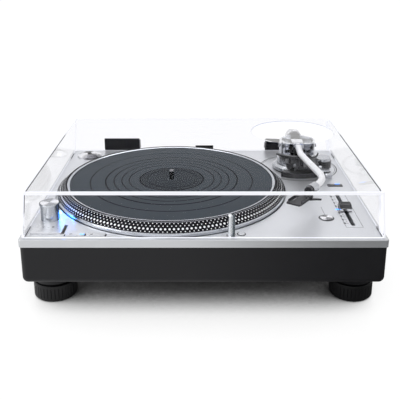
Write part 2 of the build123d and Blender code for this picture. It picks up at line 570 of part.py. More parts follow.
# Pillar: slides up and down in the base as the height ring turns
PIVOT_R = 4.0
HEAD_R = 31.0
with BuildPart() as arm_pillar:
    rod(PX, PY, PANEL_Z + 3, PLATFORM_Z[0], PILLAR_R)
    rod(PX, PY, PLATFORM_Z[0] - 4, PLATFORM_Z[0], HEAD_R)
    tube_wall(PX, PY, RING_Z[1] + 0.6, PLATFORM_Z[0] - 4, HEAD_R, HEAD_R - 3)
    rod(PX, PY, PLATFORM_Z[0], PLATFORM_Z[1] + 0.9, 10.0)
    rod(PX, PY, COLUMN_TOP - 7, PLATFORM_Z[1] + 0.9, PIVOT_R + RUN, mode=Mode.SUBTRACT)
save(arm_pillar.part, "arm_pillar")

# Platform: black plate on the pillar that carries the rest, the lift, the lever and the dial
LIFT_POST = around_pivot(LIFT_R, -112)
LIFT_PIN = 2.5
LEVER_R = 1.8
DIAL_R = 12.5
DIAL_PIN = 3.0
with BuildPart() as arm_platform:
    with BuildSketch(Plane.XY.offset(PLATFORM_Z[0])):
        with Locations((PX, PY)):
            Circle(YOKE_R)
        with Locations((REST_X, (PY + REST_Y) / 2 - 11.5)):
            Rectangle(14.0, PY - REST_Y - 7.0)
        with Locations(LIFT_POST):
            Circle(6.0)
        with BuildLine():
            Polyline((PX - 20, PY - 18), (LIFT_POST[0] - 6, LIFT_POST[1]), (LIFT_POST[0] + 6, LIFT_POST[1]),
                     (PX, PY - 18), close=True)
        make_face()
        with Locations((PX + 13.5, PY - 32.7)):
            Rectangle(27.0, 31.0)
        with Locations(DIAL):
            Circle(DIAL_R)
        with Locations((PX, PY)):
            Circle(10.3, mode=Mode.SUBTRACT)
    extrude(amount=PLATFORM_Z[1] - PLATFORM_Z[0])
    rod(DIAL[0], DIAL[1], RING_Z[1] + 0.6, PLATFORM_Z[0], DIAL_R)
    rod(LIFT_POST[0], LIFT_POST[1], PLATFORM_Z[0] - 5, PLATFORM_Z[0], 5.0)
    block(PX + 11, PX + 27, LEVER_Y - 4.2, LEVER_Y + 4.2, LEVER_Z - 3.5, PLATFORM_Z[0])
    rod_x(PX + 10, PX + 28, LEVER_Y, LEVER_Z, LEVER_R + RUN, mode=Mode.SUBTRACT)
    rod(LIFT_POST[0], LIFT_POST[1], PLATFORM_Z[0] - 6, PLATFORM_Z[1] + 1, LIFT_PIN + RUN, mode=Mode.SUBTRACT)
    rod(DIAL[0], DIAL[1], PLATFORM_Z[0] - 5, PLATFORM_Z[1] + 1, DIAL_PIN + RUN, mode=Mode.SUBTRACT)
save(arm_platform.part, "arm_platform")

with BuildPart() as antiskate_dial:
    rod(DIAL[0], DIAL[1], PLATFORM_Z[1] + GAP, PLATFORM_Z[1] + 4.9, DIAL_R - 0.9)
    chamfer(antiskate_dial.edges().group_by(Axis.Z)[-1], 0.8)
    rod(DIAL[0], DIAL[1], PLATFORM_Z[0] - 4, PLATFORM_Z[1] + GAP, DIAL_PIN)
    with Locations((DIAL[0], DIAL[1], PLATFORM_Z[1] + 2.5)):
        with PolarLocations(DIAL_R - 0.7, 32):
            with Locations(Location((0, 0, 0), (0, 0, 45))):
                Box(0.9, 0.9, 3.2, mode=Mode.SUBTRACT)
save(antiskate_dial.part, "antiskate_dial")

LEVER_X = PX + 27.3
with BuildPart() as cue_lever:
    rod_x(PX + 10.4, LEVER_X + 4.7, LEVER_Y, LEVER_Z, LEVER_R)
    rod_x(LEVER_X, LEVER_X + 4.7, LEVER_Y, LEVER_Z, 3.2)
    with BuildSketch(Plane.XY.offset(LEVER_Z - 0.9)):
        with BuildLine():
            Spline((LEVER_X + 0.9, LEVER_Y - 3.0), (LEVER_X + 4.7, LEVER_Y - 14.0),
                   (LEVER_X + 13.2, LEVER_Y - 15.5), (LEVER_X + 15.4, LEVER_Y - 9.0),
                   (LEVER_X + 5.7, LEVER_Y + 2.4))
            Line((LEVER_X + 5.7, LEVER_Y + 2.4), (LEVER_X + 0.9, LEVER_Y - 3.0))
        make_face()
    extrude(amount=1.8)
save(cue_lever.part, "cue_lever")

LIFT_TOP = ARM_Z - TUBE_R - FREE
with BuildPart() as lift_bar:
    with BuildSketch(Plane.XY.offset(LIFT_TOP - 2.2)):
        with BuildLine():
            lift_arc = CenterArc((PX, PY), LIFT_R, -140.0, 54.0)
            offset(lift_arc, amount=2.6)
        make_face()
    extrude(amount=2.2)
    rod(LIFT_POST[0], LIFT_POST[1], PLATFORM_Z[0] - 3, LIFT_TOP - 1.0, LIFT_PIN)
save(lift_bar.part, "lift_bar")

# Gimbal yoke: a chrome cup that swings about the vertical pivot, with its two pivot screws
SCREW_R = 2.5
TIP_R = 1.5
BLOCK_HALF = 9.5
with BuildPart() as gimbal_yoke:
    rod(PX, PY, YOKE_Z, YOKE_Z + 2.6, YOKE_R)
    tube_wall(PX, PY, YOKE_Z + 2.6, ARM_Z + 8.5, YOKE_R, YOKE_IN)
    with BuildSketch(Plane.XY.offset(YOKE_Z + 2.6)):
        with BuildLine():
            Polyline((PX, PY), (PX - 40, PY - 24), (PX - 40, PY - 60), (PX + 40, PY - 60), (PX + 40, PY - 24),
                     close=True)
        make_face()
    extrude(amount=ARM_Z - YOKE_Z + 10, mode=Mode.SUBTRACT)
    block(PX - 7.5, PX + 7.5, PY + 20, PY + 30, ARM_Z - 9, ARM_Z + 12, mode=Mode.SUBTRACT)
    rod(PX, PY, COLUMN_TOP - 6, YOKE_Z, PIVOT_R)
    rod_x(PX - YOKE_R - 2, PX + YOKE_R + 2, PY, ARM_Z, SCREW_R + RUN, mode=Mode.SUBTRACT)
save(gimbal_yoke.part, "gimbal_yoke")

with BuildPart() as pivot_screws:
    for side in (-1, 1):
        ends = sorted((PX + side * (YOKE_R + 1.2), PX + side * (BLOCK_HALF + 1.5)))
        rod_x(ends[0], ends[1], PY, ARM_Z, SCREW_R)
        tips = sorted((PX + side * (BLOCK_HALF + 1.5), PX + side * (BLOCK_HALF - 3.5)))
        rod_x(tips[0], tips[1], PY, ARM_Z, TIP_R)
        heads = sorted((PX + side * YOKE_R, PX + side * (YOKE_R + 1.6)))
        rod_x(heads[0], heads[1], PY, ARM_Z, SCREW_R + 1.1)
save(pivot_screws.part, "pivot_screws")

# Arm: bearing block with the rear shaft, then the S-shaped tube
REAR_SHAFT = 4.0
BLOCK_FRONT = PY - 9.0
with BuildPart() as arm_block:
    block(PX - BLOCK_HALF, PX + BLOCK_HALF, BLOCK_FRONT, PY + 9, ARM_Z - 7, ARM_Z + 7)
    fillet(arm_block.edges().filter_by(Axis.Y), 2.0)
    rod_y(PX, TUBE_START[1] + FREE, BLOCK_FRONT, ARM_Z, TUBE_R + 1.6)
    rod_y(PX, PY + 9, PY + 60, ARM_Z, REAR_SHAFT)
    rod_x(PX - BLOCK_HALF - 1, PX - BLOCK_HALF + 4.5, PY, ARM_Z, TIP_R + RUN, mode=Mode.SUBTRACT)
    rod_x(PX + BLOCK_HALF - 4.5, PX + BLOCK_HALF + 1, PY, ARM_Z, TIP_R + RUN, mode=Mode.SUBTRACT)
save(arm_block.part, "arm_block")

with BuildPart() as arm_tube:
    with BuildSketch(Plane(origin=first @ 0, z_dir=first % 0)):
        Circle(TUBE_R)
        Circle(TUBE_BORE, mode=Mode.SUBTRACT)
    sweep(path=arm_path.line)
save(arm_tube.part, "arm_tube")

# Counterweight: a sleeve that the thread moves along the shaft, the weight and its force dial
WEIGHT_R = 13.0
WEIGHT_Y = PY + 32.4
WEIGHT_END = WEIGHT_Y + 20.0
SLEEVE_OUT = 6.0
with BuildPart() as weight_core:
    rod_y(PX, WEIGHT_Y, WEIGHT_END, ARM_Z, SLEEVE_OUT)
    rod_y(PX, WEIGHT_Y, WEIGHT_END, ARM_Z, REAR_SHAFT + RUN, mode=Mode.SUBTRACT)
save(weight_core.part, "weight_core")

with BuildPart() as counterweight:
    rod_y(PX, WEIGHT_Y + 4.4, WEIGHT_END, ARM_Z, WEIGHT_R)
    fillet(counterweight.edges().filter_by(GeomType.CIRCLE), 1.4)
    rod_y(PX, WEIGHT_Y + 4.4, WEIGHT_END, ARM_Z, SLEEVE_OUT + RUN, mode=Mode.SUBTRACT)
save(counterweight.part, "counterweight")

with BuildPart() as force_dial:
    rod_y(PX, WEIGHT_Y, WEIGHT_Y + 4.1, ARM_Z, WEIGHT_R - 1.5)
    rod_y(PX, WEIGHT_Y, WEIGHT_Y + 4.1, ARM_Z, SLEEVE_OUT + RUN, mode=Mode.SUBTRACT)
save(force_dial.part, "force_dial")

# Headshell, its finger lift and the locking nut, drawn along the tube's end
SHELL = Plane(origin=(COLLAR.X, COLLAR.Y, ARM_Z), x_dir=(NOSE.X, NOSE.Y, 0), z_dir=(0, 0, 1))
ACROSS = Plane(origin=(COLLAR.X, COLLAR.Y, ARM_Z), x_dir=(NOSE.Y, -NOSE.X, 0), z_dir=(NOSE.X, NOSE.Y, 0))
with BuildPart() as locking_nut:
    with BuildSketch(ACROSS.offset(-13.0)):
        Circle(TUBE_R + 1.8)
        Circle(TUBE_R + RUN, mode=Mode.SUBTRACT)
    extrude(amount=14.5)
save(locking_nut.part, "locking_nut")

SHELL_HALF = 9.8
SHELL_TIP = 49.0
with BuildPart() as headshell:
    with BuildSketch(ACROSS.offset(-9.0)):
        Circle(TUBE_BORE - RUN)
    extrude(amount=11.0)
    with BuildSketch(ACROSS.offset(1.6)):
        Circle(TUBE_R + 0.6)
    extrude(amount=5.5)
    with BuildSketch(SHELL.offset(-4.6)):
        with BuildLine():
            Polyline((6.0, -5.0), (12.0, -SHELL_HALF), (SHELL_TIP - 5, -SHELL_HALF),
                     (SHELL_TIP, 0.8 - SHELL_HALF), (SHELL_TIP, SHELL_HALF - 0.8), (SHELL_TIP - 5, SHELL_HALF),
                     (12.0, SHELL_HALF), (6.0, 5.0), close=True)
        make_face()
    extrude(amount=2.2)
    with BuildSketch(SHELL.offset(-2.4)):
        with Locations((28.0, 0.7 - SHELL_HALF), (28.0, SHELL_HALF - 0.7)):
            Rectangle(31.0, 1.4)
        with Locations((9.0, 0)):
            Rectangle(6.0, 9.0)
    extrude(amount=1.8)
    with BuildSketch(SHELL.offset(-5.0)):
        with Locations((30.0, -6.35), (30.0, 6.35)):
            SlotOverall(16.0, 2.8)
        with Locations((17.0, 0)):
            Circle(2.0)
    extrude(amount=5.0, mode=Mode.SUBTRACT)
save(headshell.part, "headshell")

with BuildPart() as finger_lift:
    with BuildSketch(SHELL.offset(-6.0)):
        with BuildLine():
            Polyline((14.0, 6.0), (20.0, 6.0), (20.0, SHELL_HALF), (15.0, 15.0), (11.5, 21.0), (8.5, 20.0),
                     (11.0, 14.0), (14.0, SHELL_HALF), close=True)
        make_face()
    extrude(amount=1.4)
save(finger_lift.part, "finger_lift")

# Arm rest with its swinging clip, drawn open
TUBE_BOTTOM = ARM_Z - TUBE_R
CLIP_X = REST_X + 8.8
CLIP_Z = ARM_Z + 1.0
CLIP_EYE = 1.9
EAR_Y = (2.2, 3.5)
with BuildPart() as arm_rest:
    rod(REST_X, REST_Y, PLATFORM_Z[1], TUBE_BOTTOM - 2.4, 3.0)
    block(REST_X - 5.5, CLIP_X + 2.4, REST_Y - EAR_Y[1], REST_Y + EAR_Y[1],
          TUBE_BOTTOM - 2.4, TUBE_BOTTOM - FREE)
    for near, far in (EAR_Y, (-EAR_Y[0], -EAR_Y[1])):
        y0, y1 = sorted((REST_Y + near, REST_Y + far))
        block(CLIP_X - 2.4, CLIP_X + 2.4, y0, y1, TUBE_BOTTOM - FREE, CLIP_Z + 2.2)
    rod_y(CLIP_X, REST_Y - EAR_Y[1], REST_Y + EAR_Y[1], CLIP_Z, 0.8)
save(arm_rest.part, "arm_rest")

CLIP_OPEN = 165.0
with BuildPart() as rest_clip:
    with BuildSketch(Plane.XZ.offset(GAP * 3 - REST_Y - EAR_Y[0])):
        with BuildLine():
            inner_arc = CenterArc((REST_X, ARM_Z), TUBE_R + 1.2, 15.0, 150.0)
            outer_arc = CenterArc((REST_X, ARM_Z), TUBE_R + 2.6, 15.0, 150.0)
            Line(inner_arc @ 0, outer_arc @ 0)
            Line(inner_arc @ 1, outer_arc @ 1)
        make_face()
        with Locations((CLIP_X, CLIP_Z)):
            Circle(CLIP_EYE)
    extrude(amount=2 * (EAR_Y[0] - 3 * GAP))
    rod_y(CLIP_X, REST_Y - EAR_Y[1], REST_Y + EAR_Y[1], CLIP_Z, 0.8 + RUN, mode=Mode.SUBTRACT)
clip_open = rest_clip.part.rotate(Axis((CLIP_X, REST_Y, CLIP_Z), (0, 1, 0)), CLIP_OPEN)
save(clip_open, "rest_clip")


# Dust cover: drafted acrylic sheets with a round bulge over the tonearm
def cover_section(half_width, front, height, inset):
    """Draws one level of the cover at a height, moved inwards by a wall."""
    with BuildSketch(Plane.XY.offset(height)) as level:
        with Locations((0, (front + COVER_BACK) / 2)):
            RectangleRounded(2 * (half_width - inset), COVER_BACK - front - 2 * inset, 3.0 - 0.8 * inset)
    return level.sketch


def dome_ball(radius, centre_z, low):
    """Gives the part of a ball above a height, for one face of the bulge."""
    with BuildPart() as ball:
        with Locations((DOME[0], DOME[1], centre_z)):
            Sphere(radius)
        reach = 2 * radius
        block(-reach, reach, -reach, reach, centre_z - reach, low, mode=Mode.SUBTRACT)
    return ball.part


CEILING = COVER_TOP - COVER_WALL
DOME_BIG = (DOME_R ** 2 + DOME_RISE ** 2) / (2 * DOME_RISE)
DOME_Z = COVER_TOP + DOME_RISE - DOME_BIG
dome_outer = dome_ball(DOME_BIG, DOME_Z, COVER_TOP - 1.0)
dome_inner = dome_ball(DOME_BIG - DOME_T, DOME_Z, CEILING - 0.5)

# The front sheet is bonded in below the top sheet, between the outer corners
with BuildPart() as front_zone:
    for height, front in ((COVER_Z, COVER_LOW[1]), (CEILING, COVER_HIGH[1])):
        with BuildSketch(Plane.XY.offset(height)):
            with Locations((0, front)):
                Rectangle(DECK_W, 2 * COVER_WALL)
    loft()

with BuildPart() as cover_front:
    loft([cover_section(*COVER_LOW, COVER_Z, 0).face(), cover_section(*COVER_HIGH, COVER_TOP, 0).face()])
    add(front_zone.part, mode=Mode.INTERSECT)
save(cover_front.part, "cover_front")

with BuildPart() as dust_cover:
    loft([cover_section(*COVER_LOW, COVER_Z, 0).face(), cover_section(*COVER_HIGH, COVER_TOP, 0).face()])
    add(dome_outer)
    loft([cover_section(*COVER_LOW, COVER_Z, COVER_WALL).face(),
          cover_section(*COVER_HIGH, CEILING, COVER_WALL).face()], mode=Mode.SUBTRACT)
    add(dome_inner, mode=Mode.SUBTRACT)
    add(front_zone.part, mode=Mode.SUBTRACT)
save(dust_cover.part, "dust_cover")

with BuildPart() as cover_bumpers:
    for side in (-1, 1):
        for y0 in (COVER_LOW[1] + 22.5, COVER_BACK - 29.0):
            with Locations((side * (COVER_LOW[0] - COVER_WALL / 2), y0, (DECK_Z + COVER_Z) / 2)):
                Box(COVER_WALL - 0.4, 26.0, COVER_Z - DECK_Z)
save(cover_bumpers.part, "cover_bumpers")

with BuildPart() as badge_plate:
    block(-12.0, 18.6, COVER_BACK, COVER_BACK + 1.2, DECK_Z + 3, DECK_Z + 10)
save(badge_plate.part, "badge_plate")

# Hinges: brackets on the deck, leaves on the cover
FOOT_PLATE = 1.6
EAR_W = 5.5
LEAF_IN = EAR_W + FREE
with BuildPart() as hinge_brackets:
    for side in (-1, 1):
        x0, x1 = sorted((side * HINGE_X[0], side * HINGE_X[1]))
        block(x0, x1, COVER_BACK + 1.5, HINGE_BACK, DECK_Z, DECK_Z + FOOT_PLATE)
        block(x0, x1, DECK_BACK, DECK_BACK + 3.5, DECK_Z - 29, DECK_Z)
        for c0, c1 in ((x0, x0 + EAR_W), (x1 - EAR_W, x1)):
            block(c0, c1, HINGE_Y - 7.5, HINGE_Y + 7.5, DECK_Z + FOOT_PLATE, HINGE_Z + 6.0)
        rod_x(x0 + 0.5, x1 - 0.5, HINGE_Y, HINGE_Z, PIN_R)
save(hinge_brackets.part, "hinge_brackets")

with BuildPart() as hinge_leaves:
    for side in (-1, 1):
        x0, x1 = sorted((side * HINGE_X[0], side * HINGE_X[1]))
        block(x0, x1, COVER_BACK, COVER_BACK + 3.5, HINGE_Z - 4.5, HINGE_Z + 14)
        block(x0 + LEAF_IN, x1 - LEAF_IN, COVER_BACK + 3.0, HINGE_Y, HINGE_Z - 4, HINGE_Z + 5)
        rod_x(x0 + LEAF_IN, x1 - LEAF_IN, HINGE_Y, HINGE_Z, PIN_R + 2.9)
        rod_x(x0 + LEAF_IN, x1 - LEAF_IN, HINGE_Y, HINGE_Z, PIN_R + RUN, mode=Mode.SUBTRACT)
save(hinge_leaves.part, "hinge_leaves")
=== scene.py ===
"""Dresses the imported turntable: finishes, platter dots, scales, lamps, the clear cover, studio and camera."""

import math

import bpy
import numpy as np
from bpy.props import FloatProperty, FloatVectorProperty, IntProperty
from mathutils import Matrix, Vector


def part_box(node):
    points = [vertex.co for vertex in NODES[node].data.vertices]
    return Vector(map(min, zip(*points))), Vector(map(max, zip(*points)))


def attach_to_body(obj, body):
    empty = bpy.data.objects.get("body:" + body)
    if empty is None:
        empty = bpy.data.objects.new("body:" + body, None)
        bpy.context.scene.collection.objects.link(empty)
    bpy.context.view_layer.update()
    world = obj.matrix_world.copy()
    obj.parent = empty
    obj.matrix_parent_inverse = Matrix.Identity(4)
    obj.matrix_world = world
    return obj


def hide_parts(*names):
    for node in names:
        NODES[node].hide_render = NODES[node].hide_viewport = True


bl_info = {
    "name": "Turntable dressing",
    "version": (1, 0, 0),
    "blender": (4, 5, 0),
    "location": "View3D > Sidebar > Turntable",
    "description": "Finishes, dots, scales and studio for a direct-drive turntable",
    "category": "Object",
}

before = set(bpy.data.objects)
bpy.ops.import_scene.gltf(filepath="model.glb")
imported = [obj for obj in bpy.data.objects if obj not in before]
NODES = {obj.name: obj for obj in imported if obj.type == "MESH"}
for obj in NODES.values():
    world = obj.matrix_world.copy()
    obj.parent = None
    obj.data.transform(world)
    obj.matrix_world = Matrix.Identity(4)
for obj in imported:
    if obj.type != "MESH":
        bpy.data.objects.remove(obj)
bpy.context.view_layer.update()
MM = 0.001

# Places and sizes in metres, in the frame of the CAD
DECK_TOP = 0.105
RIM_FOOT, RIM_CREST = np.array([0.1650, 0.1096]), np.array([0.1529, 0.1203])
FADER_X, FADER_Y, FADER_TRAVEL = 0.192, -0.092, 0.045
RESET_BUTTON, LAMP_BUTTON, ARM_CIRCLES = (0.1617, -0.1205), (0.047, -0.1689), (0.153, 0.0755)
INK_SLOT, SPEED_FIGURE = "black_plastic", 0.0036

# Rows of dots up the rim's slope: place along the slope, size, and phase in steps between two dots
DOT_ROWS = ((0.16, 0.70, 0.0), (0.385, 1.34, 0.5), (0.64, 0.72, 0.0), (0.85, 0.64, 0.5))

# Wide grooves of the mat, by radius and width, and the inner radii of the fine ones round the spindle
GROOVES = ((0.118, 0.0015), (0.096, 0.002), (0.084, 0.0014),
           (0.0727, 0.0014), (0.062, 0.0014), (0.0464, 0.0018))
FINE_GROOVES = np.arange(0.008, 0.045, 0.0023)

# Painted shadow on the floor: its brightness for each share of open sky above it
FLOOR_SHADOW_LEVELS = ((0.0, 0.008), (0.145, 0.014), (0.185, 0.12), (0.245, 0.36),
                (0.35, 0.6), (0.5, 0.86), (0.65, 1.0))


# Materials


def attach(tree, socket, value):
    """Links a socket to another node's output, or sets the socket's own value."""
    if isinstance(value, bpy.types.NodeSocket):
        tree.links.new(value, socket)
    else:
        socket.default_value = value


def node(tree, kind, **inputs):
    """Adds a shader node and gives its inputs, by name, a value or another node's output."""
    made = tree.nodes.new(kind)
    for name, value in inputs.items():
        attach(tree, made.inputs[name.replace("_", " ")], value)
    return made


def maths(tree, operation, *values, kind="ShaderNodeMath", output="Value", clamp=False):
    """Adds a maths node over values or outputs and gives its own output."""
    made = tree.nodes.new(kind)
    made.operation = operation
    if clamp:
        made.use_clamp = True
    for socket, value in zip(made.inputs, values):
        attach(tree, socket, value)
    return made.outputs[output]


def ramp(tree, factor, stops):
    """A colour ramp over a factor, with a position and a colour for each stop."""
    made = node(tree, "ShaderNodeValToRGB", Fac=factor)
    elements = made.color_ramp.elements
    while len(elements) < len(stops):
        elements.new(0.5)
    for element, (position, colour) in zip(elements, stops):
        element.position = position
        element.color = colour
    return made.outputs["Color"]


def object_place(tree):
    """The Object coordinates of a tree."""
    return node(tree, "ShaderNodeTexCoord").outputs["Object"]


def about(tree, place, centre):
    """Coordinates moved so that a turned piece's axis is at zero."""
    return node(tree, "ShaderNodeMapping", Vector=place, Location=(-centre[0], -centre[1], 0.0)).outputs[0]


def mixed(tree, out, share, first, second):
    """Puts a mix of two shaders into the output."""
    made = node(tree, "ShaderNodeMixShader", Fac=share)
    attach(tree, made.inputs[1], first.outputs[0])
    attach(tree, made.inputs[2], second.outputs[0])
    attach(tree, out.inputs[0], made.outputs[0])


def blank(name):
    """A material with an empty tree, the tree and its output."""
    made = bpy.data.materials.new(name)
    made.use_nodes = True
    made.node_tree.nodes.clear()
    return made, made.node_tree, node(made.node_tree, "ShaderNodeOutputMaterial")


def skin_of(made):
    """The main shader of a material."""
    return next(part for part in made.node_tree.nodes if part.type == "BSDF_PRINCIPLED")


def shade(colour, factor):
    """Scales a colour's brightness and clips it to the unit range."""
    return tuple(min(1.0, max(0.0, part * factor)) for part in colour[:3]) + (1.0,)


def glowing(made, colour, strength):
    """Lets a material's skin give off light."""
    skin = skin_of(made)
    skin.inputs["Emission Color"].default_value = shade(colour, 1.0)
    skin.inputs["Emission Strength"].default_value = strength
    return made


def finish(name, colour, roughness, metallic=0.0, grain=400.0, stretch=(1, 1, 1), spread=0.06,
           rough_spread=0.06, bump=0.15, depth=0.02, turned=None, **sockets):
    """A surface whose colour, roughness and height follow noise in Object coordinates.

    grain is the noise scale per metre, stretch draws it out along an axis for brushing, and
    turned gives a centre about which fine lathe rings run. depth is the bump distance in mm.
    """
    made, tree, out = blank(name)
    skin = node(tree, "ShaderNodeBsdfPrincipled", Metallic=metallic, Roughness=roughness,
                Base_Color=shade(colour, 1.0), **sockets)
    attach(tree, out.inputs[0], skin.outputs[0])
    place = object_place(tree)
    drawn = node(tree, "ShaderNodeMapping", Vector=place, Scale=stretch).outputs[0]
    fine = node(tree, "ShaderNodeTexNoise", Vector=drawn, Scale=grain, Detail=5.0, Roughness=0.6)
    broad = node(tree, "ShaderNodeTexNoise", Vector=place, Scale=grain * 0.06, Detail=2.0, Roughness=0.5)
    height = fine.outputs["Fac"]
    if turned is not None:
        flat = maths(tree, "MULTIPLY", about(tree, place, turned), (1.0, 1.0, 0.0),
                     kind="ShaderNodeVectorMath", output="Vector")
        rings = node(tree, "ShaderNodeTexNoise", Scale=2600.0, Detail=3.0, Roughness=0.7)
        rings.noise_dimensions = "1D"
        attach(tree, rings.inputs["W"], maths(tree, "LENGTH", flat, kind="ShaderNodeVectorMath"))
        height = rings.outputs["Fac"]
    blend = maths(tree, "MULTIPLY_ADD", height, 0.6, maths(tree, "MULTIPLY", broad.outputs["Fac"], 0.4))
    tones = ramp(tree, blend, ((0.3, shade(colour, 1.0 - spread)), (0.7, shade(colour, 1.0 + spread))))
    attach(tree, skin.inputs["Base Color"], tones)
    vary = node(tree, "ShaderNodeMapRange", Value=blend, From_Min=0.3, From_Max=0.7,
                To_Min=max(0.02, roughness - rough_spread), To_Max=min(1.0, roughness + rough_spread))
    attach(tree, skin.inputs["Roughness"], vary.outputs["Result"])
    relief = node(tree, "ShaderNodeBump", Height=height, Strength=bump, Distance=depth * MM)
    attach(tree, skin.inputs["Normal"], relief.outputs["Normal"])
    return made


def clear_plastic(name, tint, ior, clarity=1.0, colour=None):
    """Clear sheet: a smooth transmitting skin with faint haze, which lets shadow rays through with its tint.

    clarity is the share of light that passes, and colour is the milky skin that shows where it is under one.
    """
    made, tree, out = blank(name)
    haze = node(tree, "ShaderNodeTexNoise", Vector=object_place(tree), Scale=9.0, Detail=2.0)
    milk = colour or tint
    tones = ramp(tree, haze.outputs["Fac"], ((0.0, shade(milk, 0.99)), (1.0, shade(milk, 1.0))))
    skin = node(tree, "ShaderNodeBsdfPrincipled", Base_Color=tones, IOR=ior, Roughness=0.0,
                Transmission_Weight=clarity)
    through = node(tree, "ShaderNodeBsdfTransparent", Color=shade(tint, 0.97))
    mixed(tree, out, node(tree, "ShaderNodeLightPath").outputs["Is Shadow Ray"], skin, through)
    return made


def lit_edge(name, colour, front, back, front_alpha, back_alpha, glow):
    """A clear sheet's polished edge with painted glow: milky, with emission, and with an alpha that runs along
    Object Y.
    """
    made = finish(name, shade(colour, 0.4), 0.3, grain=300.0, spread=0.03, bump=0.03, Specular_IOR_Level=0.1)
    tree = made.node_tree
    depth = node(tree, "ShaderNodeSeparateXYZ", Vector=object_place(tree)).outputs["Y"]
    fade = node(tree, "ShaderNodeMapRange", Value=depth, From_Min=front, From_Max=back,
                To_Min=front_alpha, To_Max=back_alpha)
    attach(tree, skin_of(made).inputs["Alpha"], fade.outputs["Result"])
    return glowing(made, colour, glow)


def spun(name, dim, bright, centre, roughness=0.2, lobes=2.0, phase=0.7):
    """Turned metal with painted reflection: light and dark sectors from a sine of the angle about a centre, in
    Object coordinates.
    """
    made = finish(name, bright, roughness, metallic=1.0, bump=0.06, turned=centre)
    tree = made.node_tree
    angle = node(tree, "ShaderNodeTexGradient", Vector=about(tree, object_place(tree), centre))
    angle.gradient_type = "RADIAL"
    wave = maths(tree, "MULTIPLY_ADD", angle.outputs["Fac"], 2.0 * math.pi * lobes, phase)
    unit = node(tree, "ShaderNodeMapRange", Value=maths(tree, "SINE", wave), From_Min=-1.0)
    tones = ramp(tree, unit.outputs["Result"], ((0.25, shade(dim, 1.0)), (0.85, shade(bright, 1.0))))
    attach(tree, skin_of(made).inputs["Base Color"], tones)
    return made


def lamp_glow(name, colour, strength):
    """A lit lens: emission over a glossy plastic skin."""
    return glowing(finish(name, colour, 0.25, grain=900.0, bump=0.05), colour, strength)


def dress(material, *names):
    """Puts one material on each of the named CAD nodes."""
    for name in names:
        mesh = NODES[name].data
        mesh.materials.clear()
        mesh.materials.append(material)


# Surfaces


def middle(box):
    """The middle of a box, seen from above."""
    low, high = box
    return (low[0] + high[0]) / 2, (low[1] + high[1]) / 2


def linked(made):
    """Puts an object into the scene."""
    bpy.context.scene.collection.objects.link(made)
    return made


def piece(name, shape, material, body, smooth=False):
    """Makes a mesh object from a shape's points and faces and lets it ride on a CAD body."""
    points, faces = shape
    mesh = bpy.data.meshes.new(name)
    mesh.from_pydata(points.tolist(), [], faces.tolist() if isinstance(faces, np.ndarray) else faces)
    mesh.polygons.foreach_set("use_smooth", np.full(len(mesh.polygons), smooth))
    mesh.update()
    mesh.materials.append(material)
    made = linked(bpy.data.objects.new(name, mesh))
    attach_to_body(made, body)
    return made


def grid_faces(rows, columns, closed_rows=True, closed_columns=True):
    """Quads between neighbours on a grid of points stored row by row.

    Face (i, j) has the corners (i, j), (i, j + 1), (i + 1, j + 1) and (i + 1, j), and a closed
    direction joins its last line to its first.
    """
    row, column = np.meshgrid(np.arange(rows if closed_rows else rows - 1),
                              np.arange(columns if closed_columns else columns - 1), indexing="ij")
    after, ahead = (row + 1) % rows, (column + 1) % columns
    corners = [row * columns + column, row * columns + ahead, after * columns + ahead, after * columns + column]
    return np.stack(corners, axis=-1).reshape(-1, 4)


def joined_shapes(shapes):
    """Several (points, faces) pairs as one, with the face numbers moved on by the points before them."""
    shifts = np.cumsum([0] + [len(shape[0]) for shape in shapes[:-1]])
    return (np.concatenate([shape[0] for shape in shapes]),
            np.concatenate([np.asarray(shape[1]) + shift for shape, shift in zip(shapes, shifts)]))


def closed_turning(profile, centre, steps):
    """Turns a closed (radius, height) loop about a vertical axis.

    Point (i, j) is (cx + r_i cos t_j, cy + r_i sin t_j, z_i) with t_j = 2 pi j / steps.
    """
    profile = np.asarray(profile, float)
    turn = np.linspace(0.0, 2.0 * np.pi, steps, endpoint=False)
    radius, height = profile[:, 0][:, None], profile[:, 1][:, None]
    points = np.stack([centre[0] + radius * np.cos(turn), centre[1] + radius * np.sin(turn),
                       np.broadcast_to(height, (len(profile), steps))], axis=-1)
    return points.reshape(-1, 3), grid_faces(len(profile), steps)


def ring(centre, inner, outer, low, high, steps=160):
    """A flat closed ring: the rectangle between two radii and two heights, turned about a vertical axis."""
    return closed_turning([(inner, low), (outer, low), (outer, high), (inner, high)], centre, steps)


def arc_band(centre, inner, outer, low, high, start, stop, steps):
    """A flat band along part of a circle: four rails (cx + r cos t, cy + r sin t, z), closed at both ends."""
    turn = np.radians(np.linspace(start, stop, steps))
    cos, sin = np.cos(turn), np.sin(turn)
    rails = [np.column_stack([centre[0] + reach * cos, centre[1] + reach * sin, np.full(steps, z)])
             for reach, z in ((inner, low), (outer, low), (outer, high), (inner, high))]
    first, last = np.arange(4) * steps, np.arange(4)[::-1] * steps + steps - 1
    sides = grid_faces(4, steps, closed_columns=False)
    return np.concatenate(rails), np.concatenate([sides, first[None], last[None]])


def outline(half_width, front, back, radius, steps=5):
    """Corner points of a rounded rectangle, counter-clockwise.

    Corner k has the points c_k + r (cos t, sin t), where t runs over its quarter turn and c_k lies r inside
    both sides.
    """
    corners = np.array([(half_width - radius, front + radius), (half_width - radius, back - radius),
                        (radius - half_width, back - radius), (radius - half_width, front + radius)])
    turn = np.radians(np.array([-90.0, 0.0, 90.0, 180.0])[:, None] + np.linspace(0.0, 90.0, steps + 1)[None, :])
    points = corners[:, None, :] + radius * np.stack([np.cos(turn), np.sin(turn)], axis=-1)
    return points.reshape(-1, 2)


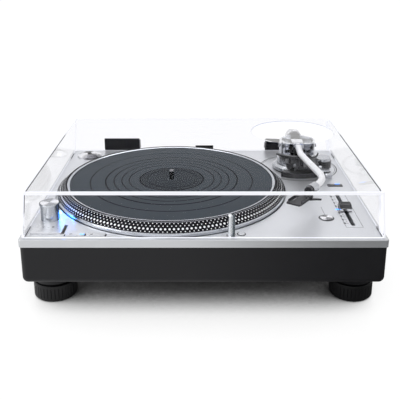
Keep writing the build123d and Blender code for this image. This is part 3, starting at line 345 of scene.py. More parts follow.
def frame_line(x, y, width, depth, radius, line, low, high):
    """A flat rounded frame: its outer and inner outlines at two heights, joined as a loop of four rails."""
    outer = outline(width / 2, y - depth / 2, y + depth / 2, radius) + np.array([x, 0.0])
    inner = outline(width / 2 - line, y - depth / 2 + line, y + depth / 2 - line, max(radius - line, 0.0001))
    inner = inner + np.array([x, 0.0])
    rails = [np.column_stack([rail, np.full(len(outer), height)])
             for rail, height in ((outer, low), (outer, high), (inner, high), (inner, low))]
    return np.concatenate(rails), grid_faces(4, len(outer))


def studs(centres, across, along, outward, half_widths, half_lengths, rise, sides=10):
    """Low domes on a surface, one for each centre.

    With unit arrays across, along and outward, ring k of a dome has the points
    centre + s_k (a cos t across + b sin t along) + h_k outward, for s = 1, 1, 0.7 and h = -0.3, 0.35, 0.9
    times the rise, closed by a pole at the full rise and one at the foot.
    """
    turn = np.linspace(0.0, 2.0 * np.pi, sides, endpoint=False)
    scale, lift = np.array([1.0, 1.0, 0.7]), np.array([-0.3, 0.35, 0.9]) * rise
    cos, sin = np.cos(turn)[None, None, :], np.sin(turn)[None, None, :]
    oval = (half_widths[:, None, None] * cos)[..., None] * across[:, None, None, :]
    oval = oval + (half_lengths[:, None, None] * sin)[..., None] * along[:, None, None, :]
    points = centres[:, None, None, :] + scale[None, :, None, None] * oval
    points = points + lift[None, :, None, None] * outward[:, None, None, :]
    top = centres + rise * outward
    foot = centres - 0.3 * rise * outward
    count = len(centres)
    body = np.concatenate([points.reshape(count, 3 * sides, 3), top[:, None, :], foot[:, None, :]], axis=1)
    around = np.arange(sides)
    ahead = (around + 1) % sides
    pole = np.full(sides, 3 * sides)
    cap = np.stack([2 * sides + around, 2 * sides + ahead, pole, pole], axis=-1)
    base = np.stack([ahead, around, pole + 1, pole + 1], axis=-1)
    local = np.concatenate([grid_faces(3, sides, closed_rows=False), cap, base])
    offset = (np.arange(count) * (3 * sides + 2))[:, None, None]
    quads = (local[None] + offset).reshape(-1, 4)
    return body.reshape(-1, 3), [face[:3] if face[2] == face[3] else face for face in quads.tolist()]


def inked_strips(strips, low, high):
    """Thin printed strips: each row of strips is (centre x, centre y, length, width, heading in degrees).

    The corners are centre +- length/2 u +- width/2 v, at two heights, where u points along the heading and
    v across it.
    """
    rows = np.asarray(strips, float)
    heading = np.radians(rows[:, 4])
    u = np.stack([np.cos(heading), np.sin(heading)], axis=-1)
    v = np.stack([-np.sin(heading), np.cos(heading)], axis=-1)
    signs = np.array([(-1, -1), (1, -1), (1, 1), (-1, 1)], float)
    corners = rows[:, None, :2] + signs[None, :, :1] * (rows[:, None, 2:3] / 2) * u[:, None, :]
    corners = corners + signs[None, :, 1:] * (rows[:, None, 3:4] / 2) * v[:, None, :]
    levels = [np.concatenate([corners, np.full(corners.shape[:2] + (1,), z)], axis=-1) for z in (low, high)]
    box = np.array([(3, 2, 1, 0), (4, 5, 6, 7), (0, 1, 5, 4), (1, 2, 6, 5), (2, 3, 7, 6), (3, 0, 4, 7)])
    faces = (box[None] + (np.arange(len(rows)) * 8)[:, None, None]).reshape(-1, 4)
    return np.concatenate(levels, axis=1).reshape(-1, 3), faces


def deck_strips(strips, rise):
    """Strips that are printed on the deck and stand up from it by rise."""
    return inked_strips(strips, DECK_TOP - 0.0001, DECK_TOP + rise)


def numerals(words, size, thickness):
    """Raised figures as one shape: each word is (text, x, y, z, heading in degrees), set in its place."""
    points, faces, shift = [], [], 0
    for text, x, y, z, heading in words:
        curve = bpy.data.curves.new("figures", "FONT")
        curve.body = text
        curve.size = size
        curve.extrude = thickness
        curve.offset = 0.05 * size
        curve.align_x = "CENTER"
        curve.align_y = "CENTER"
        holder = linked(bpy.data.objects.new("figures", curve))
        bpy.context.view_layer.update()
        mesh = bpy.data.meshes.new_from_object(holder)
        bpy.data.objects.remove(holder)
        flat = np.zeros(len(mesh.vertices) * 3)
        mesh.vertices.foreach_get("co", flat)
        cos, sin = math.cos(math.radians(heading)), math.sin(math.radians(heading))
        turn = np.array([[cos, -sin, 0], [sin, cos, 0], [0, 0, 1]])
        points.append(flat.reshape(-1, 3) @ turn.T + np.array([x, y, z]))
        faces += [[index + shift for index in face.vertices] for face in mesh.polygons]
        shift += len(mesh.vertices)
    return np.concatenate(points), faces


def ray_hits(points, centre, angles):
    """For rays from a centre, the side of a closed polygon that each one crosses and how far along that side.

    With heading h and side s from p, the reach is (p x s) / (h x s) and the share of the side is
    (p x h) / (h x s).
    """
    heading = np.stack([np.cos(angles), np.sin(angles)], axis=-1)
    start = points[None, :, :] - np.asarray(centre)
    side = np.roll(points, -1, axis=0)[None, :, :] - points[None, :, :]
    cross = heading[:, None, 0] * side[..., 1] - heading[:, None, 1] * side[..., 0]
    safe = np.where(np.abs(cross) < 1e-12, 1e-12, cross)
    reach = (start[..., 0] * side[..., 1] - start[..., 1] * side[..., 0]) / safe
    share = (start[..., 0] * heading[:, None, 1] - start[..., 1] * heading[:, None, 0]) / safe
    valid = (reach > 0) & (share > -1e-9) & (share < 1.0 + 1e-9) & (np.abs(cross) > 1e-12)
    found = np.argmin(np.where(valid, reach, np.inf), axis=1)
    return found, np.clip(share[np.arange(len(angles)), found], 0.0, 1.0)


def at_hits(points, found, share):
    """The places on another level's polygon that match hits found on the first."""
    following = np.roll(points, -1, axis=0)
    return points[found] * (1.0 - share)[:, None] + following[found] * share[:, None]


# Settings


class StageSettings(bpy.types.PropertyGroup):
    lens: FloatProperty(name="Lens", description="Camera focal length in millimetres", default=57.4, min=10.0)
    camera_place: FloatVectorProperty(
        name="Camera", description="Camera position", default=(-0.0043, -0.8911, 0.4505), unit="LENGTH")
    tilt: FloatProperty(
        name="Tilt", description="Angle of the camera below the horizon", default=0.2936, subtype="ANGLE")
    shift: FloatProperty(
        name="Shift", description="Vertical lens shift, as a share of the frame", default=-0.16)
    key_power: FloatProperty(
        name="Key light", description="Power of the large lamp overhead, in watts", default=8.0, min=0.0)
    flag: FloatProperty(
        name="Dark card", description="How much of the white is lost in reflections of the right-hand side",
        default=0.92, min=0.0, max=1.0)
    spill_power: FloatProperty(
        name="Strobe spill", description="Power of the blue light beside the strobe window, in watts",
        default=0.07, min=0.0)
    floor_tone: FloatVectorProperty(
        name="Floor", description="Colour of floor and backdrop", default=(0.9, 0.9, 0.9), subtype="COLOR")


class DeckSettings(bpy.types.PropertyGroup):
    panel: FloatVectorProperty(
        name="Panel", description="Colour of the anodised top panel", default=(0.60, 0.61, 0.63),
        subtype="COLOR")
    cabinet: FloatVectorProperty(
        name="Cabinet", description="Colour of the rubbery cabinet", default=(0.0085, 0.0085, 0.0105),
        subtype="COLOR")


class PlatterSettings(bpy.types.PropertyGroup):
    dots: IntProperty(name="Dots", description="Dots in each row round the rim", default=185, min=10)
    dot_size: FloatProperty(name="Dot size", description="Length of a small dot", default=0.0024, unit="LENGTH")
    mat: FloatVectorProperty(
        name="Mat", description="Colour of the rubber mat", default=(0.021, 0.028, 0.036), subtype="COLOR")


class ArmSettings(bpy.types.PropertyGroup):
    tube: FloatVectorProperty(
        name="Tube", description="Colour of the arm tube", default=(0.70, 0.70, 0.71), subtype="COLOR")
    shell: FloatVectorProperty(
        name="Headshell", description="Colour of the headshell", default=(0.022, 0.022, 0.025), subtype="COLOR")


class ControlSettings(bpy.types.PropertyGroup):
    lamp: FloatVectorProperty(
        name="Lamp", description="Colour of the small lamps", default=(0.03, 0.26, 1.0), subtype="COLOR")
    lamp_power: FloatProperty(
        name="Lamp power", description="Emission of the small lamps", default=3.0, min=0.0)
    strobe_power: FloatProperty(
        name="Strobe power", description="Emission of the strobe window", default=60.0, min=0.0)


class CoverSettings(bpy.types.PropertyGroup):
    tint: FloatVectorProperty(
        name="Tint", description="Colour of light through the cover", default=(0.975, 0.976, 0.988),
        subtype="COLOR")
    ior: FloatProperty(
        name="IOR", description="Refractive index, kept low so that the sheet reflects little",
        default=1.022, min=1.0)
    side_ior: FloatProperty(
        name="Side IOR", description="Refractive index of the side sheets, which mirror the deck faintly",
        default=1.11, min=1.0)
    wall: FloatProperty(name="Sheet", description="Thickness of the acrylic", default=0.003, unit="LENGTH")
    dome_clarity: FloatProperty(
        name="Dome clarity", description="Share of light that passes each face of the bulge",
        default=0.82, min=0.0, max=1.0)
    # Painted reflection: the bulge's glow stands in for the ceiling seen in it
    veil: FloatProperty(
        name="Veil", description="Emission of the bulge, which looks white where it catches the ceiling",
        default=0.16, min=0.0)


# Operators


class TURNTABLE_OT_deck(bpy.types.Operator):
    """Finishes the panel, the cabinet, the feet and the parts fixed to them"""

    bl_idname = "turntable.deck"
    bl_label = "Deck and cabinet"

    def execute(self, context):
        settings = context.scene.turntable_deck
        panel = finish("anodised_panel", settings.panel, 0.34, metallic=0.75, grain=1500.0,
                       stretch=(0.08, 1.0, 1.0), spread=0.025, bump=0.08, depth=0.01)
        cabinet = finish("cabinet_rubber", settings.cabinet, 0.5, grain=900.0, spread=0.14, bump=0.25,
                         depth=0.03, Specular_IOR_Level=0.3)
        feet = finish("foot_rubber", (0.006, 0.006, 0.007), 0.5, grain=700.0, spread=0.15, bump=0.2,
                      depth=0.03, Specular_IOR_Level=0.3)
        iron = finish("frame_paint", (0.13, 0.13, 0.14), 0.6, grain=500.0, spread=0.1, bump=0.4, depth=0.08)
        black = finish("black_moulding", (0.02, 0.02, 0.022), 0.45, grain=1200.0, spread=0.12, bump=0.2)
        hinge = finish("hinge_black", (0.008, 0.010, 0.02), 0.4, grain=900.0, spread=0.2, bump=0.2)
        brass = finish("bearing_brass", (0.72, 0.52, 0.24), 0.3, metallic=1.0, grain=600.0)
        copper = finish("coil_copper", (0.62, 0.28, 0.12), 0.35, metallic=1.0, grain=1500.0, stretch=(1, 1, 8))
        board = finish("circuit_board", (0.02, 0.14, 0.06), 0.4, grain=350.0, spread=0.2)
        steel = finish("turned_steel", (0.6, 0.6, 0.62), 0.22, metallic=1.0, grain=900.0)
        dress(panel, "top_panel")
        dress(cabinet, "base_cabinet")
        dress(feet, "foot_front_left", "foot_front_right", "foot_rear_left", "foot_rear_right")
        dress(iron, "chassis_frame", "power_supply")
        dress(black, "rear_panel", "power_inlet", "badge_plate", "fader_housing", "cover_bumpers")
        dress(hinge, "hinge_brackets", "hinge_leaves")
        dress(brass, "bearing_housing", "phono_jacks")
        dress(copper, "stator_coils")
        dress(board, "stator_board", "control_board")
        dress(steel, "ground_post", "light_sleeve")
        return {"FINISHED"}


class TURNTABLE_OT_platter(bpy.types.Operator):
    """Finishes the platter and mat, and sets the rows of dots into its rim"""

    bl_idname = "turntable.platter"
    bl_label = "Platter"

    def execute(self, context):
        settings = context.scene.turntable_platter
        centre = middle(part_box("platter"))
        bright = finish("platter_metal", (0.50, 0.52, 0.55), 0.17, metallic=1.0, spread=0.03, bump=0.12,
                        depth=0.01, turned=centre)
        mat = finish("mat_rubber", settings.mat, 0.5, grain=500.0, spread=0.1, bump=0.12,
                     turned=centre, Specular_IOR_Level=0.12)
        steel = finish("spindle_steel", (0.2, 0.2, 0.21), 0.12, metallic=1.0, grain=900.0)
        iron = finish("magnet_iron", (0.08, 0.08, 0.085), 0.5, metallic=0.6, grain=500.0)
        dress(bright, "platter")
        dress(mat, "rubber_mat")
        dress(steel, "spindle")
        dress(iron, "rotor_magnet")

        # The rim's slope runs from its foot to its crest; a dark band lies on it and carries the dots
        slope = RIM_CREST - RIM_FOOT
        normal = np.array([-slope[1], slope[0]]) / np.linalg.norm(slope)
        normal = -normal if normal[0] < 0 else normal
        lift, sunk = 0.00012 * normal, 0.0002 * normal
        start, end = RIM_FOOT + 0.04 * slope, RIM_FOOT + 0.955 * slope
        dark = finish("rim_dark", (0.010, 0.010, 0.012), 0.5, grain=900.0, spread=0.1, bump=0.1,
                      Specular_IOR_Level=0.04)
        band = closed_turning([start + lift, end + lift, end - sunk, start - sunk], centre, 360)
        piece("rim_band", band, dark, "platter")
        # Painted shadow: a dark line just inside the rim's crest
        radius, height = RIM_CREST
        line = ring(centre, radius - 0.0026, radius + 0.0001, height - 0.0006, height + 0.0001, 360)
        piece("rim_shadow_line", line, dark, "platter")

        upright = np.array([0.0, 0.0, 1.0])
        count, spots = settings.dots, []
        for share, size, phase in DOT_ROWS:
            turn = (np.arange(count) + phase) * 2.0 * np.pi / count
            at = RIM_FOOT + share * slope
            radial = np.stack([np.cos(turn), np.sin(turn), np.zeros(count)], axis=-1)
            across = np.stack([-np.sin(turn), np.cos(turn), np.zeros(count)], axis=-1)
            along = radial * slope[0] + upright * slope[1]
            along /= np.linalg.norm(along, axis=1)[:, None]
            outward = radial * normal[0] + upright * normal[1]
            spot = np.array([*centre, 0.0]) + radial * at[0] + upright * at[1] + 0.00012 * outward
            half_widths = np.full(count, settings.dot_size * 0.44 * size)
            half_lengths = np.full(count, settings.dot_size * 0.46 * size)
            spots.append((spot, across, along, outward, half_widths, half_lengths))
        dots = studs(*[np.concatenate(part) for part in zip(*spots)], rise=0.0001)
        silver = finish("dot_silver", (0.80, 0.81, 0.83), 0.3, metallic=0.6, grain=900.0, spread=0.03,
                        bump=0.05)
        piece("rim_dots", dots, silver, "platter", smooth=True)

        # Painted shade: dark floors in the grooves of the mat
        mat_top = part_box("rubber_mat")[1][2]
        low, high = mat_top - 0.0003, mat_top + 0.00004
        shadow = finish("groove_painted_shade", (0.004, 0.004, 0.005), 0.7, grain=900.0, spread=0.1, bump=0.1,
                        Specular_IOR_Level=0.05)
        rings = [ring(centre, radius - width / 2, radius + width / 2, low, high, 240)
                 for radius, width in GROOVES]
        rings += [ring(centre, radius, radius + 0.0009, low, high, 120) for radius in FINE_GROOVES]
        piece("mat_grooves", joined_shapes(rings), shadow, "platter")
        return {"FINISHED"}


class TURNTABLE_OT_tonearm(bpy.types.Operator):
    """Finishes the tonearm, its base and its counterweight"""

    bl_idname = "turntable.tonearm"
    bl_label = "Tonearm"

    def execute(self, context):
        settings = context.scene.turntable_arm
        centre = middle(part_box("arm_pillar"))
        chrome = finish("arm_chrome", (0.56, 0.57, 0.6), 0.06, metallic=1.0, grain=300.0, spread=0.02,
                        rough_spread=0.03, bump=0.02)
        satin = finish("arm_satin", settings.tube, 0.3, metallic=0.5, grain=1500.0, spread=0.02, bump=0.06)
        black = finish("arm_black", (0.014, 0.014, 0.016), 0.32, grain=900.0, spread=0.12, bump=0.12)
        silver = finish("arm_silver", (0.50, 0.51, 0.53), 0.24, metallic=1.0, grain=900.0, bump=0.08,
                        turned=centre)
        shell = finish("headshell_paint", settings.shell, 0.35, grain=1500.0, spread=0.1,
                       Specular_IOR_Level=0.2)
        weight = finish("weight_steel", (0.42, 0.42, 0.44), 0.26, metallic=1.0, grain=1200.0,
                        stretch=(1.0, 9.0, 1.0), bump=0.1)
        knob = finish("knob_silver", (0.50, 0.51, 0.53), 0.22, metallic=1.0, grain=900.0)
        dress(chrome, "gimbal_yoke", "pivot_screws", "arm_block")
        dress(satin, "arm_tube")
        dress(black, "arm_base", "arm_platform", "lift_bar", "arm_rest", "rest_clip")
        dress(black, "weight_core", "force_dial")
        dress(silver, "arm_pillar", "height_ring")
        dress(knob, "height_lock", "antiskate_dial", "cue_lever", "locking_nut")
        dress(shell, "headshell", "finger_lift")
        dress(weight, "counterweight")
        return {"FINISHED"}


class TURNTABLE_OT_controls(bpy.types.Operator):
    """Finishes knobs and buttons, and adds the pitch scale, figures and small lamps"""

    bl_idname = "turntable.controls"
    bl_label = "Controls"

    def execute(self, context):
        settings = context.scene.turntable_controls
        low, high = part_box("power_knob")
        centre = middle((low, high))
        adapter, reset = middle(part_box("record_adapter")), middle(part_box("reset_button"))
        # Painted reflection: light and dark sectors round the power knob and the strobe tower
        knob = spun("knob_painted_sheen", (0.13, 0.15, 0.18), (0.60, 0.62, 0.65), centre, 0.24, 2.0, -1.9)
        button = finish("button_metal", (0.62, 0.63, 0.65), 0.3, metallic=0.75, grain=1500.0,
                        stretch=(0.08, 1, 1), spread=0.03)
        black = finish("control_black", (0.025, 0.025, 0.028), 0.3, grain=900.0, spread=0.12)
        ink = finish("printed_ink", (0.035, 0.035, 0.04), 0.6, grain=900.0, spread=0.15)
        # Painted shade and highlight: the target light's post is dark on one side and bright on the other
        post = spun("lamp_post_painted_sheen", (0.09, 0.11, 0.12), (0.78, 0.80, 0.81), middle(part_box("target_light")),
                    0.2, 1.0, 1.5)
        blue = lamp_glow("blue_lamp", settings.lamp, settings.lamp_power)
        dress(knob, "power_knob", "strobe_tower")
        dress(button, "start_stop_button", "button_33", "button_45", "lamp_button")
        dress(black, "range_button", "fader_knob")
        dress(post, "target_light")
        # Painted reflection: light and dark sectors on the record adapter and the reset button
        dress(spun("adapter_painted_sheen", (0.10, 0.10, 0.11), (0.85, 0.85, 0.87), adapter), "record_adapter")
        dress(spun("reset_painted_sheen", (0.25, 0.25, 0.26), (0.9, 0.9, 0.92), reset), "reset_button")
        dress(lamp_glow("strobe_window", settings.lamp, settings.strobe_power), "strobe_lamp")

        # A bright cap with painted reflection sectors, and a dark ring, on the power knob
        cap = spun("knob_cap_painted_sheen", (0.40, 0.41, 0.43), (0.95, 0.95, 0.97), centre)
        rim, top = (high[0] - low[0]) / 2 - 0.0014, high[2]
        disc = ring(centre, 0.00001, rim, top - 0.0002, top + 0.00005)
        band = ring(centre, rim, rim + 0.0005, top - 0.0002, top + 0.00006)
        piece("knob_cap", disc, cap, "power_knob")
        piece("knob_ring", band, black, "power_knob")

        # Pitch scale beside the fader's slot
        pitch = FADER_TRAVEL / 8.0
        ticks = [(FADER_X - 0.0062, FADER_Y + pitch * step, 0.0016 if step % 2 else 0.0026, 0.0009, 0.0)
                 for step in range(-8, 9)]
        words = [(str(abs(step)), FADER_X - 0.0098, FADER_Y + pitch * step, DECK_TOP, 0.0)
                 for step in (-8, -6, -4, -2, 2, 4, 6, 8)]
        zero = [(FADER_X - 0.0104, FADER_Y, 0.0046, 0.0018, 0.0)]
        piece("pitch_ticks", deck_strips(ticks, 0.00006), ink, "deck")
        piece("pitch_figures", numerals(words, 0.0056, 0.00006), ink, "deck")
        piece("pitch_lamp", deck_strips(zero, 0.0002), blue, "deck")

        # A bright lip in front of the fader's knob, and frames round its slot and its panel
        low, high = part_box("fader_knob")
        lip = [((low[0] + high[0]) / 2, low[1] + 0.0010, high[0] - low[0] + 0.0004, 0.0024, 0.0)]
        chrome = finish("lip_chrome", (0.8, 0.8, 0.82), 0.12, metallic=1.0, grain=900.0)
        lip = inked_strips(lip, DECK_TOP + 0.0012, DECK_TOP + 0.0042)
        piece("fader_lip", lip, chrome, "fader_knob")
        frames = joined_shapes([
            frame_line(FADER_X + 0.0005, FADER_Y - 0.0015, 0.022, 0.113, 0.0015, 0.0005,
                       DECK_TOP - 0.00025, DECK_TOP + 0.00003),
            frame_line(FADER_X, FADER_Y, 0.0056, 0.1046, 0.0021, 0.0004, DECK_TOP - 0.0001, DECK_TOP + 0.00005),
        ])
        piece("fader_frame", frames, ink, "deck")

        # Rings round the two round buttons, and a thin leader line for the reset button
        rim_ink = finish("rim_ink", (0.03, 0.032, 0.036), 0.5, grain=900.0, spread=0.15)
        rings = joined_shapes([
            ring(RESET_BUTTON, 0.00862, 0.0102, DECK_TOP - 0.0001, DECK_TOP + 0.00005, 90),
            ring(LAMP_BUTTON, 0.00452, 0.0058, DECK_TOP - 0.0001, DECK_TOP + 0.00005, 60),
        ])
        piece("button_rings", rings, rim_ink, "deck")
        leader = deck_strips([(0.16135, -0.097, 0.026, 0.0005, 91.0)], 0.00005)
        piece("reset_leader", leader, ink, "deck")

        # Two circles on the deck round the arm's base, broken off at the platter well
        circles = joined_shapes([
            arc_band(ARM_CIRCLES, 0.0599, 0.0614, DECK_TOP - 0.00028, DECK_TOP + 0.00003, 236.0, 532.0, 200),
            arc_band(ARM_CIRCLES, 0.0575, 0.0582, DECK_TOP - 0.0001, DECK_TOP + 0.00004, 237.5, 530.5, 200),
        ])
        piece("arm_circles", circles, rim_ink, "deck")

        # Painted shade in the gaps beside the large button and between the speed buttons
        gap_shade = finish("gap_shade", (0.008, 0.008, 0.01), 0.6, grain=900.0)
        gaps = [(-0.1747, -0.1555, 0.0030, 0.0250, 0.0), (-0.1463, -0.1712, 0.0036, 0.0060, 0.0),
                (-0.1717, -0.1722, 0.0014, 0.0050, 0.0), (-0.1207, -0.1722, 0.0020, 0.0060, 0.0)]
        piece("button_gaps", deck_strips(gaps, 0.00006), gap_shade, "deck")

        # Speed figures, the start and stop signs and the lamps beside them
        for speed, x in (("33", -0.1640), ("45", -0.1385)):
            figures = numerals([(speed, x, -0.1715, 0.1062, 0.0)], SPEED_FIGURE, 0.00005)
            piece("speed_figures_" + speed, figures, ink, "button_" + speed)
        signs = [(-0.2025 + 0.0008 * k, -0.1520, 0.0004, 0.0034 - 0.0008 * k, 0.0) for k in range(4)]
        signs += [(-0.1900, -0.1520, 0.0030, 0.0030, 0.0)]
        piece("start_stop_signs", inked_strips(signs, 0.1067, 0.10686), ink, "start_stop_button")
        speed_lamp = inked_strips([(-0.1502, -0.1715, 0.0056, 0.0013, 0.0)], 0.1061, 0.1064)
        piece("speed_lamp", speed_lamp, blue, "button_33")
        range_lamp = deck_strips([(0.2010, 0.0018, 0.0070, 0.0016, 0.0)], 0.0002)
        piece("range_lamp", range_lamp, blue, "deck")
        return {"FINISHED"}


class TURNTABLE_OT_cover(bpy.types.Operator):
    """Makes the dust cover as one clear sheet with painted glow on its edges and a round bulge over the arm
    that carries painted reflection
    """

    bl_idname = "turntable.cover"
    bl_label = "Dust cover"

    def execute(self, context):
        settings = context.scene.turntable_cover
        low, high = (np.array(corner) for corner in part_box("dust_cover"))
        front_low, front_high = (np.array(corner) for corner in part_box("cover_front"))

        # The sides lean in by the draft; the bulge is part of a ball that stands on the top sheet
        wall, thin, radius, inner_radius = settings.wall, 0.0019, 0.003, 0.0006
        draft_x, draft_y, edge, chamfer = 0.0045, 0.0041, 0.0034, 0.0004
        bulge, bulge_radius, rise = np.array([0.1415, 0.0765]), 0.063, 0.0084
        base, back, wide, deep = low[2], high[1], high[0], front_low[1]
        top = high[2] - rise
        ceiling = top - wall
        ball = (bulge_radius ** 2 + rise ** 2) / (2 * rise)
        ball_z = high[2] - ball
        inner_rim = math.sqrt((ball - thin) ** 2 - (ceiling - ball_z) ** 2)

        def level(height, inset, corner):
            """The outline at a height, moved in by inset; its half-width and front follow the draft."""
            share = (height - base) / (top - base)
            return outline(wide - draft_x * share - inset, deep + draft_y * share + inset, back - inset, corner)

        # Every ring has one point for each ray from the bulge's centre, and some rays pass through the corners
        first = level(top, 0.0, radius)
        corner_turns = np.arctan2(first[:, 1] - bulge[1], first[:, 0] - bulge[0]) % (2 * np.pi)
        turns = np.concatenate([np.linspace(0.0, 2 * np.pi, 200, endpoint=False), corner_turns])
        turns = np.unique(np.round(turns, 7))
        count = len(turns)
        found, share = ray_hits(first, bulge, turns)
        ray = np.stack([np.cos(turns), np.sin(turns)], axis=-1)

        def round_ring(reach, height):
            """A circle about the bulge's centre: centre + reach (cos t, sin t)."""
            return np.column_stack([bulge + reach * ray, np.full(count, height)])

        def ball_ring(reach, size):
            """A circle on a ball of the given size, at the height ball_z + sqrt(size^2 - reach^2)."""
            return round_ring(reach, ball_z + math.sqrt(size ** 2 - reach ** 2))

        def sheet_ring(height, inset, corner):
            """The outline at a height, at the hits of the rays."""
            places = at_hits(level(height, inset, corner), found, share)
            return np.column_stack([places, np.full(count, height)])

        steps = np.linspace(0.0, 1.0, 9)[1:]
        rings = [ball_ring(bulge_radius * step, ball) for step in steps]
        rings.append(round_ring(bulge_radius + 0.0028, top))
        rings.append(sheet_ring(top, edge, inner_radius))
        rings.append(sheet_ring(top, chamfer, radius - chamfer))
        rings += [sheet_ring(height, 0.0, radius) for height in (top - chamfer, top - edge, base)]
        rings += [sheet_ring(height, wall, inner_radius) for height in (base, ceiling)]
        rings += [ball_ring(inner_rim * step, ball - thin) for step in steps[::-1]]
        points = np.concatenate(rings + [np.array([[*bulge, high[2]], [*bulge, high[2] - thin]])])
        walls = np.roll(grid_faces(len(rings), count, closed_rows=False)[:, ::-1], 1, axis=1)
        pole, last = len(rings) * count, (len(rings) - 1) * count
        caps = [(pole, a, (a + 1) % count) for a in range(count)]
        caps += [(pole + 1, last + (a + 1) % count, last + a) for a in range(count)]

        # Finish of each band: 0 clear, 1 bulge with painted reflection, 2 edge with painted glow, 3 rim of the
        # bulge with painted glow, 4 side walls
        bands = np.zeros(len(rings) - 1, int)
        bands[:7] = 1
        bands[7] = 3
        bands[9:12] = 2
        bands[13] = 2
        kinds = np.repeat(bands[:, None], count, axis=1)
        per_corner = len(first) // 4
        corner_column = (found % per_corner) < per_corner - 1
        side_column = (found == per_corner - 1) | (found == 3 * per_corner - 1)
        for band in (12, 14):
            kinds[band, corner_column] = 2
            kinds[band, side_column] = 4
        kinds = np.concatenate([kinds.ravel(), np.full(len(caps), 1)])

        clear = clear_plastic("clear_acrylic", settings.tint, settings.ior)
        white = (1.0, 1.0, 1.0)
        # Painted reflection: the bulge's milky white skin and its glow stand in for the ceiling seen in it
        bulge_sheen = clear_plastic("bulge_acrylic", settings.tint, settings.ior, settings.dome_clarity, white)
        glowing(bulge_sheen, white, settings.veil)
        # Painted glow on the cover's edges and on the bulge's rim, fading along Object Y
        edge_glow = lit_edge("acrylic_edge_painted_glow", (0.90, 0.91, 0.96), deep + 0.006, deep + 0.02, 0.96, 0.8, 0.74)
        rim = lit_edge("bulge_rim_painted_glow", (0.36, 0.41, 0.58), bulge[1] + 0.005, bulge[1] + 0.055, 0.1, 0.95, 0.75)
        mirror = clear_plastic("side_acrylic", settings.tint, settings.side_ior)
        shell = piece("cover_shell", (points, walls.tolist() + caps), clear, "cover")
        for extra in (bulge_sheen, edge_glow, rim, mirror):
            shell.data.materials.append(extra)
        shell.data.polygons.foreach_set("material_index", kinds.astype(np.int32))
        shell.data.polygons.foreach_set("use_smooth", (kinds == 1))
        shell.data.update()
        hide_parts("dust_cover", "cover_front")
        return {"FINISHED"}


def looked_at(tree, path):
    """One for camera, transmission and glossy rays, and zero for rays that only carry light."""
    seen = maths(tree, "MAXIMUM", path.outputs["Is Camera Ray"], path.outputs["Is Transmission Ray"])
    return maths(tree, "MAXIMUM", seen, path.outputs["Is Glossy Ray"])


def dim_right(tree, along, path, reach, strength, loss):
    """A strength that falls for glossy rays alone as a value runs over a reach, like a dark card."""
    fall = node(tree, "ShaderNodeMapRange", Value=along, From_Min=reach[0], From_Max=reach[1],
                To_Min=0.0, To_Max=loss)
    glossy, through = path.outputs["Is Glossy Ray"], path.outputs["Is Transmission Ray"]
    mirrored = maths(tree, "SUBTRACT", glossy, through, clamp=True)
    lost = maths(tree, "MULTIPLY", fall.outputs["Result"], mirrored)
    return maths(tree, "MULTIPLY", maths(tree, "SUBTRACT", 1.0, lost), strength)


def placed(name, data, place, turn=(0.0, 0.0, 0.0)):
    """Puts a lamp or a camera in its place."""
    made = linked(bpy.data.objects.new(name, data))
    made.location = place
    made.rotation_euler = turn
    return made


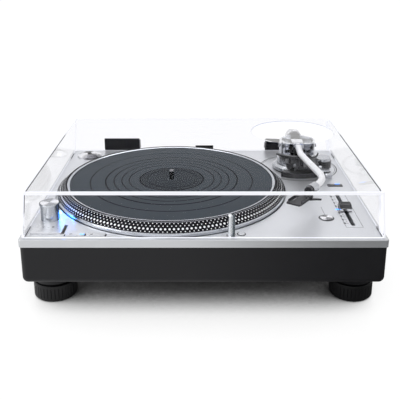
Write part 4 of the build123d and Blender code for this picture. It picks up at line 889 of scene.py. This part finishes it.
class TURNTABLE_OT_stage(bpy.types.Operator):
    """Sets up the floor, the lamps, the world and the camera"""

    bl_idname = "turntable.stage"
    bl_label = "Stage"

    def execute(self, context):
        settings, scene = context.scene.turntable_stage, context.scene

        # The floor is white to the eye where the sky reaches it, and carries a painted shadow from ambient
        # occlusion, with a little real shade from the lamps, where the object stands over it
        made, tree, out = blank("pale_floor")
        place = object_place(tree)
        grain = node(tree, "ShaderNodeTexNoise", Vector=place, Scale=40.0, Detail=3.0)
        vary = node(tree, "ShaderNodeMapRange", Value=grain.outputs["Fac"], To_Min=0.24, To_Max=0.32)
        skin = node(tree, "ShaderNodeBsdfPrincipled", Roughness=vary.outputs["Result"],
                    Base_Color=tuple(settings.floor_tone) + (1.0,))
        open_sky = node(tree, "ShaderNodeAmbientOcclusion", Distance=0.35)
        open_sky.samples = 16
        stops = [(position, (value, value, value, 1.0)) for position, value in FLOOR_SHADOW_LEVELS]
        painted_shadow = ramp(tree, open_sky.outputs["AO"], stops)
        path = node(tree, "ShaderNodeLightPath")
        right = node(tree, "ShaderNodeSeparateXYZ", Vector=place).outputs["X"]
        glow = node(tree, "ShaderNodeEmission", Color=painted_shadow,
                    Strength=dim_right(tree, right, path, (-0.02, 0.2), 1.08, settings.flag))
        mixed(tree, out, maths(tree, "MULTIPLY", looked_at(tree, path), 0.86), skin, glow)
        reach = 6.0
        mesh = bpy.data.meshes.new("floor")
        corners = [(-reach, -reach, 0.0), (reach, -reach, 0.0), (reach, reach, 0.0), (-reach, reach, 0.0)]
        mesh.from_pydata(corners, [], [[0, 1, 2, 3]])
        mesh.materials.append(made)
        floor = linked(bpy.data.objects.new("floor", mesh))

        # The world is white to the eye and in reflections, and dimmer as a light
        world = bpy.data.worlds.new("studio")
        world.use_nodes = True
        tree = world.node_tree
        tree.nodes.clear()
        path = node(tree, "ShaderNodeLightPath")
        level = node(tree, "ShaderNodeMapRange", Value=looked_at(tree, path), To_Min=0.55, To_Max=1.0)
        heading = node(tree, "ShaderNodeTexCoord").outputs["Generated"]
        right = maths(tree, "DOT_PRODUCT", heading, (0.86, -0.5, -0.1), kind="ShaderNodeVectorMath")
        strength = dim_right(tree, right, path, (0.35, 0.8), level.outputs["Result"], 0.6 * settings.flag)
        sky = node(tree, "ShaderNodeBackground", Color=(1.0, 1.0, 1.0, 1.0), Strength=strength)
        attach(tree, node(tree, "ShaderNodeOutputWorld").inputs[0], sky.outputs[0])
        scene.world = world

        # Large lamps overhead, at the left and in front, each turned towards its aim
        for name, spot, aim, size, share in (
            ("key", (0.0, 0.5, 1.7), (0.0, 0.0, 0.1), (1.6, 0.9), 1.0),
            ("left", (-1.3, -0.5, 0.9), (0.0, -0.05, 0.1), (0.7, 1.1), 0.6),
            ("front", (-0.9, -1.5, 0.9), (-0.1, -0.1, 0.1), (1.0, 0.6), 0.5),
        ):
            lamp = bpy.data.lights.new(name, "AREA")
            lamp.shape = "RECTANGLE"
            lamp.size, lamp.size_y = size
            lamp.energy = settings.key_power * share
            along = np.array(aim) - np.array(spot)
            tilt = math.atan2(math.hypot(along[0], along[1]), -along[2])
            placed(name, lamp, spot, (tilt, 0.0, math.atan2(along[1], along[0]) - math.pi / 2))

        # Blue light that spills from the strobe window over the rim and the deck
        window = np.mean(np.array(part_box("strobe_lamp")), axis=0)
        knob = np.mean(np.array(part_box("power_knob")), axis=0)
        outward = (window - knob)[:2] / np.linalg.norm((window - knob)[:2])
        spill = bpy.data.lights.new("strobe_spill", "POINT")
        spill.color = context.scene.turntable_controls.lamp
        spill.energy = settings.spill_power
        spill.shadow_soft_size = 0.002
        placed("strobe_spill", spill, (*(window[:2] + 0.0045 * outward), window[2]))

        lens = bpy.data.cameras.new("camera")
        lens.lens = settings.lens
        lens.sensor_width = 36.0
        lens.sensor_fit = "HORIZONTAL"
        lens.shift_y = settings.shift
        lens.clip_end = 50.0
        scene.camera = placed("camera", lens, settings.camera_place, (math.pi / 2 - settings.tilt, 0.0, 0.0))
        scene.view_settings.view_transform = "Standard"
        return {"FINISHED"}


class TURNTABLE_PT_panel(bpy.types.Panel):
    """Lists the turntable's settings and steps"""

    bl_label = "Turntable"
    bl_idname = "TURNTABLE_PT_panel"
    bl_space_type = "VIEW_3D"
    bl_region_type = "UI"
    bl_category = "Turntable"

    def draw(self, context):
        for group, step in GROUPS:
            settings = getattr(context.scene, group)
            box = self.layout.box()
            for name in settings.__annotations__:
                box.prop(settings, name)
            box.operator(step)


PROPERTIES = {
    "turntable_stage": StageSettings,
    "turntable_deck": DeckSettings,
    "turntable_platter": PlatterSettings,
    "turntable_arm": ArmSettings,
    "turntable_controls": ControlSettings,
    "turntable_cover": CoverSettings,
}
GROUPS = (
    ("turntable_deck", "turntable.deck"),
    ("turntable_platter", "turntable.platter"),
    ("turntable_arm", "turntable.tonearm"),
    ("turntable_controls", "turntable.controls"),
    ("turntable_cover", "turntable.cover"),
    ("turntable_stage", "turntable.stage"),
)
CLASSES = (
    StageSettings, DeckSettings, PlatterSettings, ArmSettings, ControlSettings, CoverSettings,
    TURNTABLE_OT_deck, TURNTABLE_OT_platter, TURNTABLE_OT_tonearm, TURNTABLE_OT_controls, TURNTABLE_OT_cover,
    TURNTABLE_OT_stage, TURNTABLE_PT_panel,
)


def register():
    for item in CLASSES:
        bpy.utils.register_class(item)
    for name, group in PROPERTIES.items():
        setattr(bpy.types.Scene, name, bpy.props.PointerProperty(type=group))


def unregister():
    for name in PROPERTIES:
        delattr(bpy.types.Scene, name)
    for item in reversed(CLASSES):
        bpy.utils.unregister_class(item)


def main():
    register()
    for group, step in GROUPS:
        family, name = step.split(".")
        getattr(getattr(bpy.ops, family), name)()


if __name__ == "__main__":
    main()
